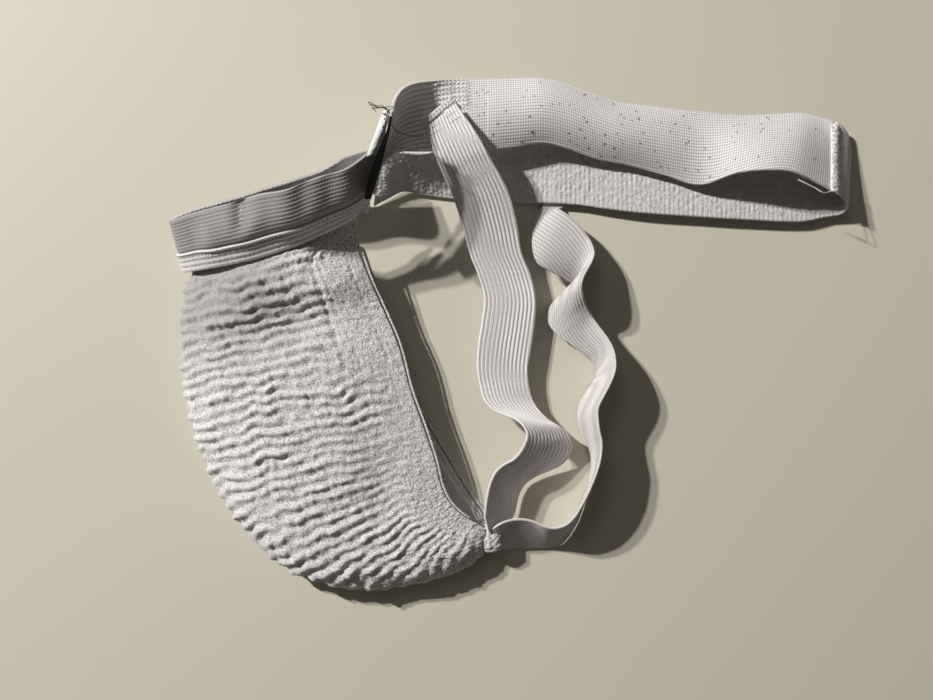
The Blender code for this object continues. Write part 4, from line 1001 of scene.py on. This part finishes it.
def make_bindings():
    def wobble(part):
        return 1 + 0.16 * np.sin(part * TAU * 88) + 0.1 * noise(part * 40, part * 0, 50)

    for side, line in (("near", NEAR_BINDING_LINE), ("far", FAR_BINDING_LINE)):
        thing = tube(
            side + "_leg_edge_binding", line, radius=0.55, material=TERRY,
            rings=260, sides=10, wobble=wobble)
        register(thing, "hem_elastic", side + "_leg_binding", body="supporter")


# ---------------------------------------------------------------- waistband
SEAM_ROWS = (0.72, 0.80, 0.90)  # stitched rows, as fractions across the front band
HOLE_ROWS = (0.705, 0.735, 0.805, 0.905)
FRONT_RIBS = 17
# Slanted folds in the front band: place along, height mm, slant mm, width mm.
PLEATS = ((0.655, -1.7, 7, 4.4), (0.80, -1.0, 7, 5.0), (0.86, -0.7, 7, 4.0), (0.70, 0.9, 6, 5.0))


def front_bow(along, across):
    """Waves and a hollow in the near half of the front band."""
    waves = 1.1 * np.sin(along * 46 + 0.6) * rise(along, 0.58, 0.08) * fall(along, 0.95, 0.08)
    hollow = 2.7 * np.sin(math.pi * across) ** 1.3
    ledge = 0.8 * bell(across, 0.74, 0.14)
    return rise(along, 0.52, 0.06) * (waves * (1 - across) ** 0.8 - hollow + ledge)


def make_front_band():
    # the far layer's edge curls up behind the near one
    upper = np.array(WAISTBAND_FRONT_UPPER, float)
    upper[:len(FAR_END_CURL), 2] += FAR_END_CURL
    sheet = Sheet(strip_grid(upper, WAISTBAND_FRONT_LOWER, 340, 84, front_bow), up_at=(0.8, 0.5))
    across, along_mm = sheet.across, sheet.along_mm
    ribbed_part = fall(across, 0.60, 0.05)
    ribs = 0.21 * hump(TAU * across * FRONT_RIBS) * ribbed_part
    zigzag = 0.11 * ripple(along_mm / 1.25 + 0.5 * np.floor(across * FRONT_RIBS), 1) * ribbed_part
    crease = -0.5 * bell(across, 0.625, 0.012) + 0.55 * bell(across, 0.655, 0.016)
    lower = 0.35 * rise(across, 0.63, 0.03)
    rows = -0.26 * sum(bell(across, c, 0.010) for c in SEAM_ROWS)
    rows = rows + 0.14 * sum(bell(across, c, 0.012) for c in (0.76, 0.855, 0.945))
    pucker = 0.05 * np.sin(along_mm * TAU / 2.9 + 2 * sheet.noise(6, 8, 60))
    pucker *= rise(across, 0.62, 0.06)
    pleats = fall(across, 0.60, 0.3) * sum(
        height * bell(along_mm, place * along_mm.max() - slant * (across - 0.2), width)
        for place, height, slant, width in PLEATS)
    knit = 0.05 * ripple(along_mm, 1.3)
    # the ribbed part up to 0.635 across takes the dark base as painted shade, the stitched part beyond it
    # the white edge cloth
    thing = sheet.build(
        "waistband_front_cloth",
        outer=0.8 + ribs + zigzag + pleats + crease + lower + rows + pucker + knit,
        inner=0.75, materials=[BAND_PAINTED_SHADE, PLUSH, BAND_EDGE], edge=0.7, lowest=LOWEST,
        outer_index=np.where(across > 0.635, 2, 0))
    register(thing, "waistband_elastic", "waistband_front", body="supporter")

    along = np.linspace(0.02, 0.985, 900)

    def stitched_rows(places, lift):
        return [sheet.at(along, place + 0.004 * np.sin(along * 60), lift) for place in places]

    thing = stitches("waistband_front_stitching", stitched_rows(SEAM_ROWS, lift=0.02),
                     WHITE_THREAD, radius=0.17, length=1.5, gap=0.8)
    register(thing, "white_thread", body="supporter")
    # dark grains along the stitched rows are painted shade of the needle holes
    thing = stitches("waistband_front_stitch_holes", stitched_rows(HOLE_ROWS, lift=0.0),
                     HOLE_SHADE, radius=0.15, length=0.8, gap=1.2)
    register(thing, "white_thread", body="supporter")


def fine_grid(sheet):
    """Small knit squares on the outer face of the back band."""
    return 0.09 * hump(TAU * sheet.across * 25) * hump(TAU * sheet.along_mm / 1.15)


def make_near_band():
    """Near side, from the side seam to the centre back."""
    grid = strip_grid(WAISTBAND_NEAR_UPPER, WAISTBAND_NEAR_LOWER, 560, 90)
    along, across = unit_axes(*grid.shape[:2])
    middle_line = (np.asarray(WAISTBAND_NEAR_UPPER) + np.asarray(WAISTBAND_NEAR_LOWER)) / 2
    crown = catmull_rom(WAISTBAND_NEAR_CROWN, chord_knots(middle_line), along[:, 0])
    grid[..., 2] += crown[:, None] * (4 * across * (1 - across))

    sheet = Sheet(grid)
    hip_end = 0.245  # the hip knit gives way to the back grid here
    hip = fall(sheet.along, hip_end + 0.01, 0.02)
    hip_ribs = 0.22 * hump(TAU * sheet.across * 15) + 0.10 * ripple(sheet.along_mm, 1.9)
    back = fine_grid(sheet) + 0.03 * sheet.noise(1.2, 1.2, 66)
    selvedge = 0.16 * (bell(sheet.across, 0.022, 0.016) + bell(sheet.across, 0.978, 0.016))
    thing = sheet.build(
        "waistband_near_cloth", outer=0.74 + hip_ribs * hip + back * (1 - hip) + selvedge,
        inner=0.72 + 0.12 * sheet.noise(1.1, 1.1, 67), materials=[GRID, PLUSH, HIP], edge=0.6,
        outer_index=np.where(sheet.along < hip_end, 2, 0))
    register(thing, "waistband_back_elastic", "waistband_near_hip", "waistband_back_near")
    return sheet


def make_far_band():
    """Far side, with the plush inner face up."""
    grid = strip_grid(WAISTBAND_FAR_UPPER, WAISTBAND_FAR_LOWER, 560, 80)
    sheet = Sheet(grid, up_at=(0.8, 0.5), up=-1)
    pile = 0.22 * sheet.noise(1.3, 1.3, 70) + 0.16 * sheet.noise(0.7, 0.7, 71)
    pile += 0.12 * sheet.noise(3.1, 3.1, 72)
    inside_selvedge = fall(sheet.across, 0.93, 0.02) * rise(sheet.across, 0.06, 0.02)
    seam_row = 0.14 * (1 - inside_selvedge) * ripple(sheet.along_mm, 1.1)
    thing = sheet.build(
        "waistband_far_cloth", outer=0.72 + fine_grid(sheet),
        inner=0.72 + (pile + 0.1) * inside_selvedge + seam_row,
        materials=[GRID, PLUSH], edge=0.6, lowest=LOWEST)
    register(thing, "waistband_back_elastic", "waistband_far_hip", "waistband_back_far")
    return sheet


# ---------------------------------------------------------------- leg straps
def strap_relief(sheet, seed):
    ribs = hump(TAU * (sheet.across * 13 + 0.5)) ** 0.7
    threads = 0.03 * ripple(sheet.along_mm, 0.9) * ribs
    return 0.27 * ribs + threads + 0.03 * sheet.noise(1.5, 1.5, seed)


def make_strap(node, grid, material, seed, lowest=None):
    sheet = Sheet(grid)
    thing = sheet.build(
        node + "_cloth", outer=0.42 + strap_relief(sheet, seed),
        inner=0.42 + strap_relief(sheet, seed + 1),
        materials=[material, material], edge=0.55, lowest=lowest)
    register(thing, "ribbed_strap_elastic", node)
    return sheet


# ---------------------------------------------------------------- hems, tapes, label
def make_hems(near_strap):
    hem = Sheet(strip_grid(NEAR_HEM_UPPER, NEAR_HEM_LOWER, 70, 24,
                           lambda along, across: 0.5 * np.sin(math.pi * across)))
    relief = 0.22 * ripple(hem.along_mm, 1.9) + 0.12 * hem.noise(1.2, 1.2, 90)
    thing = hem.build("near_strap_hem_cloth", 0.75 + relief, 0.6, [STRAP_HEM], edge=1.0)
    register(thing, "hem_elastic", "near_strap_hem", body="supporter")

    far = Sheet(strip_grid(FAR_HEM_UPPER, FAR_HEM_LOWER, 40, 20))
    outer = 0.55 + 0.06 * ripple(far.along_mm, 1.9)
    thing = far.build("far_strap_hem_cloth", outer, 0.55, [HEM], edge=0.7, lowest=LOWEST)
    register(thing, "hem_elastic", "far_strap_hem", body="supporter")

    # white zigzag on the near hem, two dark rows below it on the strap
    run = zigzag_run(hem, (0.03, 0.5), (0.97, 0.5), points=90, swing=(0, 0.26), turns=11)
    thing = stitches("near_hem_stitching", [run], WHITE_THREAD, radius=0.2, length=1.3, gap=0.15)
    register(thing, "white_thread", body="supporter")
    across = np.linspace(0.04, 0.96, 60)
    thing = stitches("near_hem_dark_stitching", [near_strap.at(c, across) for c in (0.012, 0.026)],
                     BLACK_THREAD, radius=0.12, length=1.1, gap=0.7)
    register(thing, "black_thread", body="supporter")


def make_lap_patch(near_band):
    """Lattice of zigzags, four lengthwise and three crosswise."""
    first, last = (0.175, 0.06), (0.243, 0.42)
    runs = []
    for i in range(4):
        across = first[1] + (last[1] - first[1]) * i / 3
        runs.append(zigzag_run(near_band, (first[0], across), (last[0], across),
                               points=70, swing=(0, 0.028), turns=7))
    for i in range(3):
        along = first[0] + (last[0] - first[0]) * i / 2
        runs.append(zigzag_run(near_band, (along, first[1]), (along, last[1]),
                               points=70, swing=(0.008, 0), turns=7))
    thing = stitches("hip_lap_zigzag", runs, WHITE_THREAD, radius=0.17, length=1.1, gap=0.12)
    register(thing, "hem_elastic", "hip_lap_patch", body="supporter")


def make_seam_tapes():
    def bow(along, across):
        return 0.5 * np.sin(math.pi * across) + 0.25 * np.sin(9 * along)

    tape = Sheet(strip_grid(SEAM_ALLOWANCE_OUTER, SEAM_ALLOWANCE_INNER, 90, 26, bow))
    outer = 0.5 + 0.1 * tape.noise(1.4, 1.4, 95)
    thing = tape.build("near_seam_tape_cloth", outer, 0.45, [TAPE], edge=0.6)
    register(thing, "seam_tape", "near_side_seam_tape", body="supporter")
    along = np.linspace(0.05, 0.95, 120)
    run = tape.at(along, 0.78 + 0.05 * np.sin(along * 40), lift=0.03)
    thing = stitches(
        "near_seam_black_stitching", [run], BLACK_THREAD, radius=0.17, length=1.2, gap=2.2)
    register(thing, "black_thread", body="supporter")
    thing = tube("far_seam_tape_cloth", FAR_SEAM_LINE, radius=1.35, material=HEM,
                 rings=60, sides=12, squash=0.8,
                 wobble=lambda part: 1 + 0.12 * noise(part * 14, part * 0 + 3, 96))
    register(thing, "seam_tape", "far_side_seam_tape", body="supporter")


def make_label():
    def bow(along, across):
        return 0.35 * np.sin(math.pi * across) * np.sin(5 * along + 1)

    sheet = Sheet(strip_grid(LABEL_SEWN_EDGE, LABEL_FREE_EDGE, 120, 40, bow))
    outer = 0.22 + 0.02 * ripple(sheet.along_mm, 0.8)
    thing = sheet.build("side_label_cloth", outer, 0.2, [LABEL], edge=0.3)
    register(thing, "label_black", "side_label", body="label")


def make_centre_back():
    sheet = Sheet(strip_grid(CENTRE_BACK_NEAR, CENTRE_BACK_FAR, 130, 22,
                             lambda along, across: 0.8 * np.sin(math.pi * across) - 0.6))
    fuzz = 0.25 * sheet.noise(1.1, 1.1, 100) + 0.2 * sheet.noise(0.6, 0.6, 101)
    thing = sheet.build("centre_back_seam_cloth", 0.5 + fuzz, 0.5, [HEM], edge=0.9)
    register(thing, "hem_elastic", "centre_back_seam", body="waistband_back")
    run = zigzag_run(sheet, (0.03, 0.45), (0.97, 0.45), points=160, swing=(0, 0.4), turns=15,
                     lift=0.08)
    thing = stitches("centre_back_zigzag", [run], WHITE_THREAD, radius=0.2, length=1.4, gap=0.1)
    register(thing, "white_thread", body="waistband_back")
    return sheet


# ---------------------------------------------------------------- crotch join
def make_crotch_join():
    """Lumpy rounded block where the straps meet the pouch tip."""
    centre = (93.7, -51.6, 7.3)
    half_x, half_y, half_z = 5.4, 6.8, 6.6
    pole_gap = 0.08  # radians left open at each pole and closed by a cap
    rows, columns = steps(60), steps(40)
    turn = np.linspace(0, TAU, rows, endpoint=False)[:, None]
    tilt = np.linspace(-math.pi / 2 + pole_gap, math.pi / 2 - pole_gap, columns)[None, :]

    def squared(value):
        return np.sign(value) * np.abs(value) ** 0.8

    girth = np.cos(tilt) ** 0.7
    x = half_x * squared(np.cos(turn)) * girth
    y = half_y * squared(np.sin(turn)) * girth
    z = half_z * squared(np.sin(tilt))
    lumps = 1 + 0.07 * noise(x / 1.6 + 3, y / 1.6 + z / 2, 110)
    lumps = lumps + 0.05 * noise(x / 0.8, y / 0.8 + z, 111)
    points = np.stack([x * lumps, y * lumps, z * lumps], -1) + centre
    points[..., 2] = np.maximum(points[..., 2], 0.05)

    ids = np.arange(rows * columns).reshape(rows, columns)
    around = np.roll(ids, -1, axis=0)
    quads = np.stack([ids[:, :-1], around[:, :-1], around[:, 1:], ids[:, 1:]], -1)
    faces = quads.reshape(-1, 4).tolist() + [ids[::-1, 0].tolist(), ids[:, -1].tolist()]
    uv = np.stack([
        np.repeat(np.linspace(0, 38, rows), columns), np.tile(np.linspace(0, 14, columns), rows),
    ], 1)
    thing = mesh_object("crotch_join_cloth", points.reshape(-1, 3), faces, uv, [TERRY])
    register(thing, "hem_elastic", "crotch_bartack", body="supporter")


# ---------------------------------------------------------------- threads and lint
def make_loose_threads():
    # seed, scatter in mm, radius, replaced nodes
    tufts = ((1, 0.0, 0.26, ("black_thread_tuft",)), (2, 0.9, 0.16, ()), (3, 1.3, 0.16, ()))
    for i, (seed, scatter, radius, replaced) in enumerate(tufts):
        line = np.asarray(BLACK_THREAD_LINE, float)
        offset = np.random.default_rng(seed).normal(0, scatter, line.shape)
        line = line + offset * np.array([1, 1, 0.4])
        thing = tube("black_thread_tuft_%d" % i, line, radius, BLACK_THREAD, rings=60, sides=6)
        register(thing, "black_thread", *replaced, body="supporter")
    thing = tube("label_thread_arc", LABEL_THREAD_LINE, radius=0.2, material=BLACK_THREAD,
                 rings=80, sides=6)
    register(thing, "black_thread", "label_thread_end", body="label")
    # the white thread ends in the centre back join
    thing = tube("back_seam_loose_thread", WHITE_THREAD_LINE + CENTRE_BACK_NEAR[-1:],
                 radius=0.28, material=WHITE_THREAD, rings=60, sides=6)
    register(thing, "white_thread", "back_seam_thread_end", body="waistband_back")


def make_lint(near_band, centre_back):
    rng = np.random.default_rng(5)
    places = [(0.26 + 0.70 * rng.uniform() ** 1.25, rng.uniform(0.06, 0.94)) for _ in range(95)]
    lint = hairs("waistband_lint", near_band, places, seed=6, length=1.35, radius=0.14,
                 lift=0.02, material=LINT)
    register(lint, "black_thread")
    places = [(rng.uniform(0.0, 1.0), rng.uniform(0.0, 0.6)) for _ in range(110)]
    fuzz = hairs("centre_back_fuzz", centre_back, places, seed=8, length=2.0, radius=0.07,
                 lift=0.1, material=WHITE_THREAD)
    register(fuzz, "white_thread", body="waistband_back")
    return lint


# ---------------------------------------------------------------- bending with the joints
def bend_with_joints(near_band, lint, far_band, near_strap, far_strap):
    for thing in (near_band.thing, lint):
        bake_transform(thing, "supporter", "waistband_back",
                 start=(0.0925, 0.14, 0.03), end=(0.165, 0.14, 0.03))
    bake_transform(far_band.thing, "supporter", "waistband_back",
             start=(0.100, 0.13, 0.003), end=(0.185, 0.13, 0.003))
    # both ends of a strap stay with the supporter, so its weights go up and down again
    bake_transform(near_strap.thing, "supporter", "near_strap",
             start=(0.064, 0.14, 0.04), end=(0.08, 0.09, 0.03))
    along = near_strap.along[:, 0]
    near_strap.set_bend_weights(rise(along, 0.02, 0.26) * fall(along, 0.985, 0.26))
    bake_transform(far_strap.thing, "supporter", "far_strap",
             start=(0.098, -0.051, 0.002), end=(0.12, 0.0, 0.002))
    along = far_strap.along[:, 0]
    far_strap.set_bend_weights(rise(along, 0.01, 0.22) * fall(along, 0.985, 0.12))


# ---------------------------------------------------------------- floor, light, camera (metres)
LAMP_TARGET = Vector((0.0816, 0.0392, 0.0))
CAMERA_PLACE = (0.081585, 0.0392, 0.5)
VIEW_WIDTH = 0.45717  # seen by the camera at floor level
SENSOR_WIDTH = 36.0  # mm


def make_floor():
    bpy.ops.mesh.primitive_plane_add(size=4.0, location=(0.08, 0.04, -0.0001))
    floor = bpy.context.object
    floor.name = "floor"
    floor.data.materials.append(floor_material())


def make_world():
    world = bpy.data.worlds.new("world")
    bpy.context.scene.world = world
    world.use_nodes = True
    background = world.node_tree.nodes["Background"]
    background.inputs["Color"].default_value = (1.0, 0.93, 0.82, 1)
    background.inputs["Strength"].default_value = 0.065


def make_lamp(name, direction, distance, size, power, colour):
    """Disk light that faces the target from the given direction."""
    data = bpy.data.lights.new(name, "AREA")
    data.shape = "DISK"
    data.size = size
    data.energy = power
    data.color = colour
    lamp = bpy.data.objects.new(name, data)
    bpy.context.scene.collection.objects.link(lamp)
    towards = Vector(direction).normalized()
    lamp.location = LAMP_TARGET + towards * distance
    lamp.rotation_euler = towards.to_track_quat("Z", "Y").to_euler()


def make_camera():
    """Looks straight down."""
    data = bpy.data.cameras.new("camera")
    data.sensor_width = SENSOR_WIDTH
    data.lens = SENSOR_WIDTH * CAMERA_PLACE[2] / VIEW_WIDTH
    data.clip_start = 0.01
    camera = bpy.data.objects.new("camera", data)
    camera.location = CAMERA_PLACE
    bpy.context.scene.collection.objects.link(camera)
    bpy.context.scene.camera = camera


# ---------------------------------------------------------------- build
paint_cup()
make_pouch()
make_lining()
make_bindings()
make_front_band()
near_band = make_near_band()
far_band = make_far_band()
near_strap = make_strap(
    "near_leg_strap", strip_grid(NEAR_STRAP_INNER, NEAR_STRAP_OUTER, 620, 120), STRAP, seed=80)
# the far strap takes the darker copy of the strap knit as painted shade
far_strap = make_strap(
    "far_leg_strap", strip_grid(FAR_STRAP_TOP, FAR_STRAP_BOTTOM, 760, 120), STRAP_PAINTED_SHADE,
    seed=82, lowest=LOWEST)
make_hems(near_strap)
make_lap_patch(near_band)
make_seam_tapes()
make_label()
centre_back = make_centre_back()
make_crotch_join()
make_loose_threads()
lint = make_lint(near_band, centre_back)
bend_with_joints(near_band, lint, far_band, near_strap, far_strap)

make_floor()
make_world()
KEY = dict(distance=2.5, size=0.07, power=41, colour=(1.0, 0.975, 0.945))
make_lamp("key", direction=(-1.0, 0.75, 1.0), **KEY)
make_lamp("key_twin", direction=(-1.15, 0.84, 1.0), **KEY)
make_lamp("fill", direction=(-0.5, 1.0, 1.6), distance=2.6, size=0.9, power=2.5,
          colour=(1.0, 0.96, 0.9))
make_camera()

view = bpy.context.scene.view_settings
view.view_transform = "Standard"
view.look = "None"
view.exposure = 0.0
